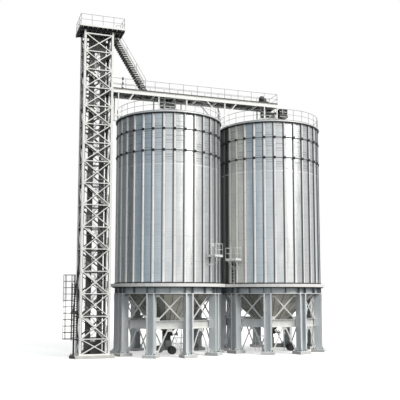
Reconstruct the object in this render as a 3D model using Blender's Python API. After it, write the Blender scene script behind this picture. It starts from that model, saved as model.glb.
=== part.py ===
"""A grain silo plant: two hopper-bottom steel silos on nine columns each, a lattice
elevator tower with a zigzag stair, and a conveyor bridge that runs over both roofs.

Metres, +Z up. The origin is on the ground at the middle of the plant's length.
+X runs along the plant from the tower to the second silo, -Y is the front.
"""

import math

import bmesh
import bpy
from mathutils import Matrix, Vector

for leftover in list(bpy.data.objects):
    bpy.data.objects.remove(leftover)

# Driving dimensions of the plant
GAP = 0.0003
SILO_SPACING = 10.27
DECK_RADIUS = 5.26
HALF_LENGTH = 12.63
RIGHT_X = HALF_LENGTH - DECK_RADIUS
LEFT_X = RIGHT_X - SILO_SPACING

# Silo shell
PANELS = 32
PANEL_ANGLE = math.tau / PANELS
WALL_RADIUS = 4.775
WALL_THICKNESS = 0.025
EAVE_Z = 21.20
STIFFENER_WIDTH = 0.10
STIFFENER_DEPTH = 0.085
STIFFENER_FACE = WALL_RADIUS + GAP + STIFFENER_DEPTH
WIND_RING_HEIGHTS = (17.86, 19.75)
WIND_RING_SIZE = 0.07
WIND_RING_DEPTH = 0.04
ROOF_RADIUS = 4.95
ROOF_LIP = 0.10
ROOF_LIP_INNER = 4.62
ROOF_RISE = 1.42
ROOF_THICKNESS = 0.03
INLET_RADIUS = 0.45
COLLAR_HEIGHT = 0.12
RAIL_SIZE = 0.05
RAIL_HEIGHT = 1.10
ROOF_RAIL_RADIUS = 4.82

# Silo base
PLINTH = (1.20, 1.20, 0.26)
BASE_PLATE = (0.95, 0.95, 0.04)
LEGS = 9
LEG_ANGLE = math.tau / LEGS
LEG_RADIUS = 4.60
COLUMN_WIDTH = 0.70
COLUMN_DEPTH = 0.66
COLUMN_PLATE = 0.03
GIRDER_BOTTOM = 5.40
GIRDER_TOP = 6.02
GIRDER_WEB_RADIUS = 4.60
GIRDER_FLANGE_RADIUS = 4.92
GIRDER_TOP_FLANGE_RADIUS = 5.03
GIRDER_PLATE = 0.035
GIRDER_SEGMENTS = 36
DECK_INNER_RADIUS = 4.90
DECK_DEPTH = 0.27
DECK_SEGMENTS = 48
RING_BEAM_RADIUS = 4.425
RING_BEAM_WIDTH = 0.24
RING_BEAM_BOTTOM = 2.41
RING_BEAM_TOP = 3.12
RING_BEAM_PLATE = 0.03
BRACE_WIDTH = 0.11
BRACE_DEPTH = 0.06
BRACE_OFFSET = 0.04
BRACE_SETBACK = 0.47
HOPPER_RADIUS = 4.55
HOPPER_SKIRT_BOTTOM = 5.66
HOPPER_THICKNESS = 0.04
OUTLET_RADIUS = 0.36
OUTLET_Z = 1.90
SPOUT_BOTTOM = 1.25

# Elevator tower
TOWER_LEFT = LEFT_X - 8.485
TOWER_RIGHT = LEFT_X - 5.875
TOWER_FRONT = -2.70
TOWER_BACK = -0.60
TOWER_BASE_Z = 0.25
FIRST_LEVEL = 1.61
LOWER_BAYS = 8
LOWER_BAY = 1.90
UPPER_BAYS = 7
UPPER_BAY = 1.63
LEVELS = [FIRST_LEVEL + LOWER_BAY * i for i in range(LOWER_BAYS + 1)]
LEVELS += [LEVELS[-1] + UPPER_BAY * (i + 1) for i in range(UPPER_BAYS)]
TOWER_TOP = 28.47
POST = 0.15
LACING = 0.075
PLATFORM_LEFT = LEFT_X - 8.91
PLATFORM_RIGHT = LEFT_X - 4.95
PLATFORM_FRONT = -3.08
PLATFORM_BACK = -0.30
PLATFORM_Z = 28.70
DECK_PLATE = 0.06
HANDRAIL_HEIGHT = 1.05
HANDRAIL_INSET = 0.06
PLATFORM_JOIST = 0.12

# Conveyor bridge and the stair down to it
BRIDGE_START = TOWER_RIGHT + GAP
BRIDGE_END = LEFT_X + 10.68
BRIDGE_FRONT = -1.40
BRIDGE_BACK = 0.50
STRINGER = 0.10
STRINGER_BOTTOM = 23.48
STRINGER_TOP = 23.80
BRIDGE_DECK_Z = 23.76
BRIDGE_BAYS = 8
JOIST = 0.10
JOIST_DEPTH = 0.20
SUPPORT_POST = 0.09
EAVE_BEAM = 0.10
KNEE = 0.07
END_POST_X = LEFT_X - 5.12
MIDDLE_POST_X = RIGHT_X - 5.12
STAIR_HEAD = LEFT_X - 5.39
STAIR_FOOT = LEFT_X - 2.48
STAIR_FRONT = -1.30
STAIR_BACK = -0.42


def phase(degrees):
    """Turn that puts the piece's first corner at an angle from the front, towards +X."""
    return math.radians(degrees) - math.pi / 2


SILOS = {
    "left": {"x": LEFT_X, "panel_turn": phase(1.2), "leg_turn": phase(6.11), "joins": 1},
    "right": {"x": RIGHT_X, "panel_turn": phase(4.2), "leg_turn": phase(12.66), "joins": -1},
}


# Shapes

def finished(bm, name="shape"):
    """Turn a bmesh into a mesh with its faces pointing out."""
    bmesh.ops.recalc_face_normals(bm, faces=bm.faces)
    mesh = bpy.data.meshes.new(name)
    bm.to_mesh(mesh)
    bm.free()
    return mesh


def block(low, high):
    """A box between two corners."""
    bm = bmesh.new()
    bmesh.ops.create_cube(bm, size=1.0)
    for vert in bm.verts:
        vert.co = Vector([lo if c < 0 else hi for c, lo, hi in zip(vert.co, low, high)])
    return finished(bm)


def bar(start, end, width, depth, side=(0, 1, 0)):
    """A straight bar. Its depth lies along side, its width across side and length."""
    start, end = Vector(start), Vector(end)
    along = (end - start).normalized()
    across = along.cross(Vector(side)).normalized()
    out = across.cross(along)
    half = (end - start) / 2
    turn = Matrix((across * width, out * depth, half * 2)).transposed()
    bm = bmesh.new()
    bmesh.ops.create_cube(bm, size=1.0)
    for vert in bm.verts:
        vert.co = turn @ vert.co + start + half
    return finished(bm)


def prism(outline, low, high):
    """An outline in X and Z, extruded along Y from low to high."""
    bm = bmesh.new()
    face = bm.faces.new([bm.verts.new((x, low, z)) for x, z in outline])
    grown = bmesh.ops.extrude_face_region(bm, geom=[face])
    moved = [g for g in grown["geom"] if isinstance(g, bmesh.types.BMVert)]
    bmesh.ops.translate(bm, verts=moved, vec=(0, high - low, 0))
    return finished(bm)


def slab(outline, low, high):
    """An outline in X and Y, extruded up Z from low to high."""
    bm = bmesh.new()
    face = bm.faces.new([bm.verts.new((x, y, low)) for x, y in outline])
    grown = bmesh.ops.extrude_face_region(bm, geom=[face])
    lifted = [g for g in grown["geom"] if isinstance(g, bmesh.types.BMVert)]
    bmesh.ops.translate(bm, verts=lifted, vec=(0, 0, high - low))
    return finished(bm)


def turned(profile, segments, start=0.0, sweep=math.tau):
    """A profile of (radius, z) points turned about Z, all the way round or over a sweep."""
    bm = bmesh.new()
    rim = [bm.verts.new((r * math.cos(start), r * math.sin(start), z)) for r, z in profile]
    whole = sweep >= math.tau
    if whole:
        geom = [bm.edges.new((a, b)) for a, b in zip(rim, rim[1:] + rim[:1])]
    else:
        geom = [bm.faces.new(rim)]
    bmesh.ops.spin(bm, geom=geom, axis=(0, 0, 1), cent=(0, 0, 0), angle=sweep,
                   steps=segments, use_merge=whole, use_duplicate=False)
    return finished(bm)


def combine(base, others, operation):
    """One mesh from a base mesh and others, by an exact Boolean."""
    scene = bpy.context.scene.collection
    holder = bpy.data.collections.new("operands")
    scene.children.link(holder)
    body = bpy.data.objects.new("body", base)
    scene.objects.link(body)
    for mesh in others:
        holder.objects.link(bpy.data.objects.new("operand", mesh))
    modifier = body.modifiers.new("combine", "BOOLEAN")
    modifier.operation = operation
    modifier.operand_type = "COLLECTION"
    modifier.collection = holder
    modifier.solver = "EXACT"
    depsgraph = bpy.context.evaluated_depsgraph_get()
    result = bpy.data.meshes.new_from_object(body.evaluated_get(depsgraph))
    for obj in list(holder.objects) + [body]:
        bpy.data.objects.remove(obj)
    bpy.data.collections.remove(holder)
    return result


def fused(parts):
    """One closed body from parts that run into each other."""
    return combine(parts[0], parts[1:], "UNION")


def moved(mesh, turn=0.0, offset=(0, 0, 0)):
    """The mesh turned about Z and then shifted."""
    mesh.transform(Matrix.Translation(offset) @ Matrix.Rotation(turn, 4, "Z"))
    return mesh


# Materials and objects

def finish(name, colour, metallic, roughness):
    """A Principled material."""
    material = bpy.data.materials.new(name)
    material.use_nodes = True
    shader = material.node_tree.nodes["Principled BSDF"]
    shader.inputs["Base Color"].default_value = (*colour, 1.0)
    shader.inputs["Metallic"].default_value = metallic
    shader.inputs["Roughness"].default_value = roughness
    return material


GALVANISED = finish("galvanised_sheet", (0.62, 0.65, 0.67), 0.9, 0.35)
STRUCTURAL = finish("painted_structure", (0.55, 0.58, 0.58), 0.3, 0.5)
LIGHT_STEEL = finish("light_galvanised_steel", (0.74, 0.74, 0.72), 0.6, 0.45)
HOPPER_STEEL = finish("hopper_steel", (0.34, 0.33, 0.30), 0.8, 0.4)
DARK_MACHINE = finish("dark_machine", (0.04, 0.04, 0.045), 0.3, 0.5)
TRUNK_STEEL = finish("trunk_steel", (0.30, 0.30, 0.29), 0.7, 0.45)


def add(name, mesh, material, parent=None, turn=0.0):
    """A named piece, placed by its parent and its own turn about Z."""
    obj = bpy.data.objects.new(name, mesh)
    if not mesh.materials:
        mesh.materials.append(material)
    obj.parent = parent
    obj.rotation_euler = (0, 0, turn)
    bpy.context.scene.collection.objects.link(obj)
    return obj


# Silo pieces, each about the silo's own axis

def wall_half(start):
    """Half of the round wall, as a thin shell that stands on the ring girder."""
    inner = WALL_RADIUS - WALL_THICKNESS
    bottom = GIRDER_TOP + GAP
    profile = [(inner, bottom), (WALL_RADIUS, bottom), (WALL_RADIUS, EAVE_Z), (inner, EAVE_Z)]
    slit = 2 * GAP / WALL_RADIUS
    # The joint is a hair's width, so the end panels are a hair shorter than the others
    return turned(profile, PANELS // 2, start + slit / 2, math.pi - slit)


def stiffener_cage():
    """Upright stiffeners outside the sheets, tied by two wind rings."""
    parts = []
    for height in WIND_RING_HEIGHTS:
        outer = STIFFENER_FACE - 0.01
        inner = outer - WIND_RING_DEPTH
        low, high = height - WIND_RING_SIZE / 2, height + WIND_RING_SIZE / 2
        profile = [(inner, low), (outer, low), (outer, high), (inner, high)]
        parts.append(turned(profile, PANELS))
    half = STIFFENER_WIDTH / 2
    for i in range(PANELS):
        upright = block((WALL_RADIUS + GAP, -half, GIRDER_TOP + GAP),
                        (STIFFENER_FACE, half, EAVE_Z - 0.002))
        parts.append(moved(upright, i * PANEL_ANGLE))
    return fused(parts)


def roof():
    """A low cone with a flat lip at the eave and an inlet collar at the top."""
    bottom = EAVE_Z + GAP
    lip_top = bottom + ROOF_LIP
    peak = lip_top + ROOF_RISE
    profile = [
        (ROOF_RADIUS, bottom), (ROOF_RADIUS, lip_top), (ROOF_LIP_INNER, lip_top),
        (INLET_RADIUS, peak), (INLET_RADIUS, peak + COLLAR_HEIGHT),
        (INLET_RADIUS - 0.05, peak + COLLAR_HEIGHT), (INLET_RADIUS - 0.05, peak - ROOF_THICKNESS),
        (ROOF_LIP_INNER, lip_top - ROOF_THICKNESS), (ROOF_LIP_INNER, bottom),
    ]
    return turned(profile, PANELS)


def roof_height(silo, x, y):
    """Height of the roof's top surface at a point given from the silo's axis."""
    slope = ROOF_RISE / (ROOF_LIP_INNER - INLET_RADIUS)
    from_middle = (math.atan2(y, x) - silo["panel_turn"]) % PANEL_ANGLE - PANEL_ANGLE / 2
    reach = math.hypot(x, y) * math.cos(from_middle) / math.cos(PANEL_ANGLE / 2)
    lip_top = EAVE_Z + GAP + ROOF_LIP
    return lip_top + max(0.0, ROOF_LIP_INNER - reach) * slope


def roof_seat(silo, low, high):
    """Lowest flat seat over the roof for a rectangle, read along its edges."""
    steps = 120
    (x0, y0), (x1, y1) = low, high
    heights = []
    for i in range(steps + 1):
        x, y = x0 + (x1 - x0) * i / steps, y0 + (y1 - y0) * i / steps
        heights += [roof_height(silo, *spot) for spot in ((x, y0), (x, y1), (x0, y), (x1, y))]
    return max(heights) + GAP


def ring_rail(radius, foot, height, posts, segments):
    """A round handrail: posts and a top rail."""
    top = foot + height
    inner, outer = radius - RAIL_SIZE / 2, radius + RAIL_SIZE / 2
    parts = [turned([(inner, top - RAIL_SIZE), (outer, top - RAIL_SIZE), (outer, top),
                     (inner, top)], segments)]
    half = RAIL_SIZE / 2
    for i in range(posts):
        post = block((inner + 0.004, -half, foot), (outer - 0.004, half, top - RAIL_SIZE / 2))
        parts.append(moved(post, i * math.tau / posts))
    return fused(parts)


def ring_girder():
    """A channel ring, open outwards, that carries the wall, the deck and the hopper."""
    web, low, high = GIRDER_WEB_RADIUS, GIRDER_FLANGE_RADIUS, GIRDER_TOP_FLANGE_RADIUS
    t = GIRDER_PLATE
    profile = [(web, GIRDER_BOTTOM), (low, GIRDER_BOTTOM), (low, GIRDER_BOTTOM + t),
               (web + t, GIRDER_BOTTOM + t), (web + t, GIRDER_TOP - t), (high, GIRDER_TOP - t),
               (high, GIRDER_TOP), (web, GIRDER_TOP)]
    return turned(profile, GIRDER_SEGMENTS)


def walkway(joins):
    """The ring deck around the wall's foot, cut off where it meets the other silo's deck."""
    bottom, top = GIRDER_TOP + GAP, GIRDER_TOP + GAP + DECK_DEPTH
    mesh = turned([(DECK_INNER_RADIUS, bottom), (DECK_RADIUS, bottom), (DECK_RADIUS, top),
                   (DECK_INNER_RADIUS, top)], DECK_SEGMENTS)
    bm = bmesh.new()
    bm.from_mesh(mesh)
    cut_x = joins * (SILO_SPACING - GAP) / 2
    geom = list(bm.verts) + list(bm.edges) + list(bm.faces)
    bmesh.ops.bisect_plane(bm, geom=geom, plane_co=(cut_x, 0, 0), plane_no=(joins, 0, 0),
                           clear_outer=True)
    bmesh.ops.holes_fill(bm, edges=[e for e in bm.edges if e.is_boundary])
    return finished(bm)


def hopper():
    """The discharge cone, hung by its flange from the ring girder."""
    t = HOPPER_THICKNESS
    seat = GIRDER_TOP + GAP
    flange = WALL_RADIUS - WALL_THICKNESS - 0.03
    profile = [
        (flange, seat), (flange, seat + t), (HOPPER_RADIUS - t, seat + t),
        (HOPPER_RADIUS - t, HOPPER_SKIRT_BOTTOM), (OUTLET_RADIUS - t, OUTLET_Z),
        (OUTLET_RADIUS, OUTLET_Z), (HOPPER_RADIUS, HOPPER_SKIRT_BOTTOM - 0.02),
        (HOPPER_RADIUS, seat),
    ]
    return turned(profile, PANELS)


def discharge_gate():
    """Slide gate under the cone, with a flange and a square spout, open right through."""
    top = OUTLET_Z - GAP
    outer = fused([
        block((-0.46, -0.46, top - 0.05), (0.46, 0.46, top)),
        block((-0.38, -0.38, top - 0.30), (0.38, 0.38, top - 0.02)),
        block((0.30, -0.30, top - 0.22), (0.86, 0.30, top - 0.14)),
        block((-0.22, -0.22, SPOUT_BOTTOM), (0.22, 0.22, top - 0.28)),
    ])
    return combine(outer, [block((-0.18, -0.18, SPOUT_BOTTOM - 0.1), (0.18, 0.18, top + 0.1))],
                   "DIFFERENCE")


def column():
    """An H column on its base plate and plinth, notched on the inside for the ring beam."""
    plinth_x, plinth_y, plinth_z = PLINTH
    plate_x, plate_y, plate_z = BASE_PLATE
    foot = plinth_z + plate_z
    depth, width, t = COLUMN_DEPTH / 2, COLUMN_WIDTH / 2, COLUMN_PLATE
    top = GIRDER_BOTTOM - GAP
    section = [
        (-depth, -width), (depth, -width), (depth, t - width), (t / 2, t - width),
        (t / 2, width - t), (depth, width - t), (depth, width), (-depth, width),
        (-depth, width - t), (-t / 2, width - t), (-t / 2, t - width), (-depth, t - width),
    ]
    bm = bmesh.new()
    face = bm.faces.new([bm.verts.new((x, y, foot - 0.01)) for x, y in section])
    grown = bmesh.ops.extrude_face_region(bm, geom=[face])
    lifted = [g for g in grown["geom"] if isinstance(g, bmesh.types.BMVert)]
    bmesh.ops.translate(bm, verts=lifted, vec=(0, 0, top - foot + 0.01))
    shaft = finished(bm)
    notch = block((-depth - 0.1, -width - 0.1, RING_BEAM_BOTTOM - GAP),
                  (-0.04, width + 0.1, RING_BEAM_TOP + GAP))
    shaft = combine(shaft, [notch], "DIFFERENCE")
    leg = fused([
        block((-plinth_x / 2, -plinth_y / 2, 0), (plinth_x / 2, plinth_y / 2, plinth_z)),
        block((-plate_x / 2, -plate_y / 2, plinth_z - 0.01), (plate_x / 2, plate_y / 2, foot)),
        shaft,
    ])
    return moved(leg, 0.0, (LEG_RADIUS, 0, 0))


def bracing():
    """Nine-sided channel ring beam with crossed braces above it and inverted V braces below it."""
    half, t = RING_BEAM_WIDTH / 2, RING_BEAM_PLATE
    low, high = RING_BEAM_BOTTOM, RING_BEAM_TOP
    spread = 1 / math.cos(LEG_ANGLE / 2)
    mid = RING_BEAM_RADIUS
    offsets = [(-half, low), (half, low), (half, low + t), (t - half, low + t),
               (t - half, high - t), (half, high - t), (half, high), (-half, high)]
    parts = [turned([(mid + r * spread, z) for r, z in offsets], LEGS)]
    foot = PLINTH[2] + BASE_PLATE[2] + 0.07
    head = GIRDER_BOTTOM - 0.06
    for i in range(LEGS):
        a, b = i * LEG_ANGLE, (i + 1) * LEG_ANGLE
        start = Vector((math.cos(a), math.sin(a), 0)) * RING_BEAM_RADIUS
        end = Vector((math.cos(b), math.sin(b), 0)) * RING_BEAM_RADIUS
        along = (end - start).normalized()
        out = along.cross(Vector((0, 0, 1)))
        start = start + along * BRACE_SETBACK + out * BRACE_OFFSET
        end = end - along * BRACE_SETBACK + out * BRACE_OFFSET
        middle = (start + end) / 2
        up = Vector((0, 0, 1))
        runs = [(start + up * (high - 0.02), end + up * head),
                (end + up * (high - 0.02), start + up * head),
                (middle - along * 0.12 + up * (low + 0.02), start + up * foot),
                (middle + along * 0.12 + up * (low + 0.02), end + up * foot)]
        parts += [bar(p, q, BRACE_WIDTH, BRACE_DEPTH, out) for p, q in runs]
    return fused(parts)


def access_platform(height):
    """A small railed platform on brackets, against a stiffener at +X."""
    inner, outer, half = STIFFENER_FACE + GAP, STIFFENER_FACE + 0.85, 0.62
    r = RAIL_SIZE / 2
    top = height + RAIL_HEIGHT
    parts = [block((inner, -half, height - 0.08), (outer, half, height)),
             block((inner, -0.04, height - 0.75), (inner + 0.05, 0.04, height - 0.04))]
    for side in (-0.45, 0.45):
        parts.append(bar((inner + 0.04, side * 0.02, height - 0.70),
                         (outer - 0.08, side, height - 0.06), 0.05, 0.05, (0, 1, 0)))
    corners = [(inner + 0.06, -half + r), (outer - r, -half + r), (outer - r, 0),
               (outer - r, half - r), (inner + 0.06, half - r)]
    for x, y in corners:
        parts.append(block((x - r, y - r, height - 0.02), (x + r, y + r, top - 0.02)))
    for (xa, ya), (xb, yb) in ((corners[0], corners[1]), (corners[1], corners[3]),
                               (corners[3], corners[4])):
        low = (min(xa, xb) - r, min(ya, yb) - r, top - RAIL_SIZE)
        high = (max(xa, xb) + r, max(ya, yb) + r, top)
        parts.append(block(low, high))
    return fused(parts)


def ladder(centre, width, low, high, spacing=0.30):
    """Two stiles in the Y Z plane and their rungs."""
    x, y = centre
    r, half = 0.025, width / 2
    parts = [block((x - r, y + s * half - r, low), (x + r, y + s * half + r, high))
             for s in (-1, 1)]
    count = int((high - low - 0.15) / spacing)
    for i in range(count + 1):
        z = low + 0.15 + i * spacing
        parts.append(block((x - 0.012, y - half, z - 0.012), (x + 0.012, y + half, z + 0.012)))
    return parts


def discharge_machine(reach):
    """Screw conveyor trough on legs under the spout, with its motor at the far end."""
    top = SPOUT_BOTTOM - GAP
    side = math.copysign(1, reach)
    low_x, high_x = sorted((-side * 0.55, reach))
    motor_x = reach - side * 0.35
    parts = [
        block((-0.27, -0.27, 0.62), (0.27, 0.27, top)),
        block((low_x, -0.22, 0.30), (high_x, 0.22, 0.66)),
    ]
    for x in (low_x + 0.12, high_x - 0.12):
        parts.append(block((x - 0.05, -0.34, 0), (x + 0.05, 0.34, 0.34)))
    drum = turned([(0.30, -0.34), (0.30, 0.34), (0.02, 0.34), (0.02, -0.34)], 12)
    lying = Matrix.Rotation(math.pi / 2, 4, "X")
    drum.transform(Matrix.Translation((motor_x, -0.05, 0.42)) @ lying)
    parts.append(drum)
    parts.append(block((motor_x - 0.04, -0.36, 0.40), (motor_x + 0.04, 0.26, 0.44)))
    return fused(parts)


LEG_MESH = column()

for side, silo in SILOS.items():
    axis = bpy.data.objects.new(side + "_silo_axis", None)
    axis.location = (silo["x"], 0, 0)
    bpy.context.scene.collection.objects.link(axis)
    panel_turn = silo["panel_turn"]
    add(side + "_wall_front", wall_half(-math.pi), GALVANISED, axis, panel_turn + math.pi / 2)
    add(side + "_wall_back", wall_half(0.0), GALVANISED, axis, panel_turn + math.pi / 2)
    add(side + "_stiffener_cage", stiffener_cage(), GALVANISED, axis, panel_turn)
    add(side + "_roof", roof(), GALVANISED, axis, panel_turn)
    rail_foot = EAVE_Z + GAP + ROOF_LIP + GAP
    add(side + "_roof_rail", ring_rail(ROOF_RAIL_RADIUS, rail_foot, RAIL_HEIGHT, PANELS // 2, PANELS),
        LIGHT_STEEL, axis, panel_turn)
    add(side + "_ring_girder", ring_girder(), STRUCTURAL, axis, silo["leg_turn"])
    add(side + "_walkway", walkway(silo["joins"]), LIGHT_STEEL, axis)
    add(side + "_hopper", hopper(), HOPPER_STEEL, axis, panel_turn)
    add(side + "_discharge_gate", discharge_gate(), DARK_MACHINE, axis)
    for i in range(LEGS):
        add(f"{side}_leg_{i + 1}", LEG_MESH, STRUCTURAL, axis, silo["leg_turn"] + i * LEG_ANGLE)
    add(side + "_bracing", bracing(), LIGHT_STEEL, axis, silo["leg_turn"])
    silo["axis"] = axis

PLATFORM_HEIGHTS = {"left": 8.70, "right": 8.50}
PLATFORM_PANELS = {"left": 3, "right": -6}
MACHINE_REACH = {"left": -1.15, "right": 2.35}
for side, silo in SILOS.items():
    turn = silo["panel_turn"] + PLATFORM_PANELS[side] * PANEL_ANGLE
    add(side + "_access_platform", access_platform(PLATFORM_HEIGHTS[side]), LIGHT_STEEL,
        silo["axis"], turn)
    add(side + "_discharge_conveyor", discharge_machine(MACHINE_REACH[side]), DARK_MACHINE,
        silo["axis"])
access_low = GIRDER_TOP + GAP + DECK_DEPTH + GAP
access_high = PLATFORM_HEIGHTS["right"] - 0.08 - GAP
add("right_access_ladder", fused(ladder((5.02, -0.38), 0.42, access_low, access_high)),
    LIGHT_STEEL, SILOS["right"]["axis"],
    SILOS["right"]["panel_turn"] + PLATFORM_PANELS["right"] * PANEL_ANGLE)


# Elevator tower

def lattice_face(length, crossed, stile, depth):
    """One flat side of the tower in X and Z: stiles, floor bars and diagonals, cut from a
    sheet of triangles by insetting each one, then given its thickness."""
    bm = bmesh.new()
    low = TOWER_BASE_Z + GAP
    columns = (0.0, stile, length - stile, length)
    rows = [low, low + LACING] + LEVELS[:-1] + [LEVELS[-1] - LACING, LEVELS[-1], TOWER_TOP]
    beams = (0, len(rows) - 3)
    grid = [[bm.verts.new((x, 0, z)) for x in columns] for z in rows]
    middle = length / 2
    for i, (under, over) in enumerate(zip(grid, grid[1:])):
        for j in (0, 2):
            bm.faces.new((under[j], under[j + 1], over[j + 1], over[j]))
        if i == len(rows) - 2:
            break
        low_left, low_right, high_left, high_right = under[1], under[2], over[1], over[2]
        if i in beams:
            bm.faces.new((low_left, low_right, high_right, high_left))
        elif crossed:
            mid_z = (under[1].co.z + over[1].co.z) / 2
            hub = bm.verts.new((middle, 0, mid_z))
            corners = (low_left, low_right, high_right, high_left)
            for a, b in zip(corners, corners[1:] + corners[:1]):
                bm.faces.new((a, b, hub))
        elif i % 2:
            bm.faces.new((low_left, low_right, high_right))
            bm.faces.new((low_left, high_right, high_left))
        else:
            bm.faces.new((low_left, low_right, high_left))
            bm.faces.new((low_right, high_right, high_left))
    bm.normal_update()
    openings = [face for face in bm.faces if len(face.verts) == 3]
    bmesh.ops.inset_individual(bm, faces=openings, thickness=LACING / 2, use_even_offset=True)
    bmesh.ops.delete(bm, geom=openings, context="FACES_ONLY")
    grown = bmesh.ops.extrude_face_region(bm, geom=list(bm.faces))
    inner = [g for g in grown["geom"] if isinstance(g, bmesh.types.BMVert)]
    bmesh.ops.translate(bm, verts=inner, vec=(0, LACING, 0))
    if depth > LACING:
        ends = [f for f in grown["geom"] if isinstance(f, bmesh.types.BMFace)
                and not stile < f.calc_center_median().x < length - stile]
        grown = bmesh.ops.extrude_face_region(bm, geom=ends)
        inner = [g for g in grown["geom"] if isinstance(g, bmesh.types.BMVert)]
        bmesh.ops.translate(bm, verts=inner, vec=(0, depth - LACING, 0))
        bmesh.ops.delete(bm, geom=ends, context="FACES")
    return finished(bm)


TOWER_LENGTH = TOWER_RIGHT - TOWER_LEFT
SIDE_LENGTH = (TOWER_BACK - POST) - (TOWER_FRONT + POST) - 2 * GAP
front_face = lattice_face(TOWER_LENGTH, True, POST, POST)
add("tower_front_face", moved(front_face, 0, (TOWER_LEFT, TOWER_FRONT, 0)), LIGHT_STEEL)
back_face = lattice_face(TOWER_LENGTH, False, POST, POST)
add("tower_back_face", moved(back_face, math.pi, (TOWER_RIGHT, TOWER_BACK, 0)), LIGHT_STEEL)
left_face = lattice_face(SIDE_LENGTH, False, LACING, LACING)
add("tower_left_face", moved(left_face, -math.pi / 2, (TOWER_LEFT, TOWER_BACK - POST - GAP, 0)),
    LIGHT_STEEL)
right_face = lattice_face(SIDE_LENGTH, False, LACING, LACING)
add("tower_right_face", moved(right_face, math.pi / 2, (TOWER_RIGHT, TOWER_FRONT + POST + GAP, 0)),
    LIGHT_STEEL)

add("tower_base", block((TOWER_LEFT - 0.35, TOWER_FRONT - 0.40, 0),
                        (TOWER_RIGHT + 0.35, TOWER_BACK + 0.40, TOWER_BASE_Z)), STRUCTURAL)


def tower_platform():
    """Top deck on joists, wider than the tower on all sides, open where the stair comes up."""
    joist_bottom = TOWER_TOP + GAP
    deck_bottom = PLATFORM_Z - DECK_PLATE
    joist_top = deck_bottom + 0.02
    joist_start = PLATFORM_LEFT + 0.03
    lap = STAIR_HEAD - 0.05
    parts = [block((PLATFORM_LEFT, PLATFORM_FRONT, deck_bottom), (STAIR_HEAD, PLATFORM_BACK, PLATFORM_Z)),
             block((lap, PLATFORM_FRONT, deck_bottom), (PLATFORM_RIGHT, STAIR_FRONT - GAP, PLATFORM_Z)),
             block((lap, STAIR_BACK + GAP, deck_bottom), (PLATFORM_RIGHT, PLATFORM_BACK, PLATFORM_Z))]
    middle = (TOWER_FRONT + TOWER_BACK - PLATFORM_JOIST) / 2
    runs = [(TOWER_FRONT, PLATFORM_RIGHT), (middle, PLATFORM_RIGHT),
            (TOWER_BACK - PLATFORM_JOIST, STAIR_HEAD)]
    for y, end in runs:
        parts.append(block((joist_start, y, joist_bottom), (end - 0.03, y + PLATFORM_JOIST, joist_top)))
    edges = [(PLATFORM_LEFT + 0.02, PLATFORM_BACK - 0.02),
             (PLATFORM_RIGHT - PLATFORM_JOIST, STAIR_FRONT - 0.02)]
    for x, end in edges:
        parts.append(block((x, PLATFORM_FRONT + 0.02, joist_bottom + 0.03),
                           (x + PLATFORM_JOIST - 0.02, end, joist_top)))
    return fused(parts)


def path_rail(points, foot, height, spacing, loop=False):
    """A straight-run handrail through corner points: posts and a top rail."""
    r = RAIL_SIZE / 2
    parts = []
    runs = list(zip(points, points[1:] + points[:1])) if loop else list(zip(points, points[1:]))
    spots = []
    for (xa, ya), (xb, yb) in runs:
        length = math.hypot(xb - xa, yb - ya)
        steps = max(1, round(length / spacing))
        spots += [(xa + (xb - xa) * i / steps, ya + (yb - ya) * i / steps)
                  for i in range(steps + 1)]
        top = foot + height
        parts.append(block((min(xa, xb) - r, min(ya, yb) - r, top - RAIL_SIZE),
                           (max(xa, xb) + r, max(ya, yb) + r, top)))
    spots = list(dict.fromkeys((round(x, 4), round(y, 4)) for x, y in spots))
    for x, y in spots:
        parts.append(block((x - r + 0.004, y - r + 0.004, foot),
                           (x + r - 0.004, y + r - 0.004, foot + height - 0.02)))
    return fused(parts)


stair_side = STAIR_FRONT - HANDRAIL_INSET
rail_left, rail_right = PLATFORM_LEFT + HANDRAIL_INSET, PLATFORM_RIGHT - HANDRAIL_INSET
rail_front, rail_back = PLATFORM_FRONT + HANDRAIL_INSET, PLATFORM_BACK - HANDRAIL_INSET
deck_corners = [(STAIR_HEAD, stair_side), (rail_right, stair_side), (rail_right, rail_front),
                (rail_left, rail_front), (rail_left, rail_back), (rail_right, rail_back)]
add("tower_platform", tower_platform(), LIGHT_STEEL)
add("tower_platform_rail", path_rail(deck_corners, PLATFORM_Z + GAP, HANDRAIL_HEIGHT, 0.96),
    LIGHT_STEEL)


TRUNKS = ((LEFT_X - 7.83, LEFT_X - 7.40), (LEFT_X - 6.84, LEFT_X - 6.44))
TRUNK_FRONT = -1.84
TRUNK_BACK = -1.46
BOOT_TOP = 1.35
HEAD_BOTTOM = 26.9
HEAD_TOP = LEVELS[-1] - 0.08


def bucket_elevator():
    """Boot, two trunks and head, in one casing that stands on the tower's base."""
    foot = TOWER_BASE_Z + GAP
    left, right = TRUNKS[0][0] - 0.06, TRUNKS[1][1] + 0.02
    parts = [
        block((left, TRUNK_FRONT - 0.05, foot), (right, TRUNK_BACK + 0.05, BOOT_TOP)),
        block((left, TRUNK_FRONT - 0.05, HEAD_BOTTOM), (right, TRUNK_BACK + 0.05, HEAD_TOP)),
        block((left + 0.45, TRUNK_FRONT - 0.45, foot), (right - 0.45, TRUNK_FRONT, 0.95)),
    ]
    for low_x, high_x in TRUNKS:
        parts.append(block((low_x, TRUNK_FRONT, BOOT_TOP - 0.1), (high_x, TRUNK_BACK, HEAD_BOTTOM + 0.1)))
    return fused(parts)


def step_outline(foot, top, rise, steps):
    """Side view of a flight: steps above, a straight soffit below."""
    (x0, z0), (x1, z1) = foot, top
    run, lift = (x1 - x0) / steps, rise / steps
    points = []
    for i in range(steps):
        points += [(x0 + run * i, z0 + lift * (i + 1)), (x0 + run * (i + 1), z0 + lift * (i + 1))]
    return [(x0, z0)] + points + [(x1, z1 - 0.16), (x0 + run, z0)]


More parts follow.
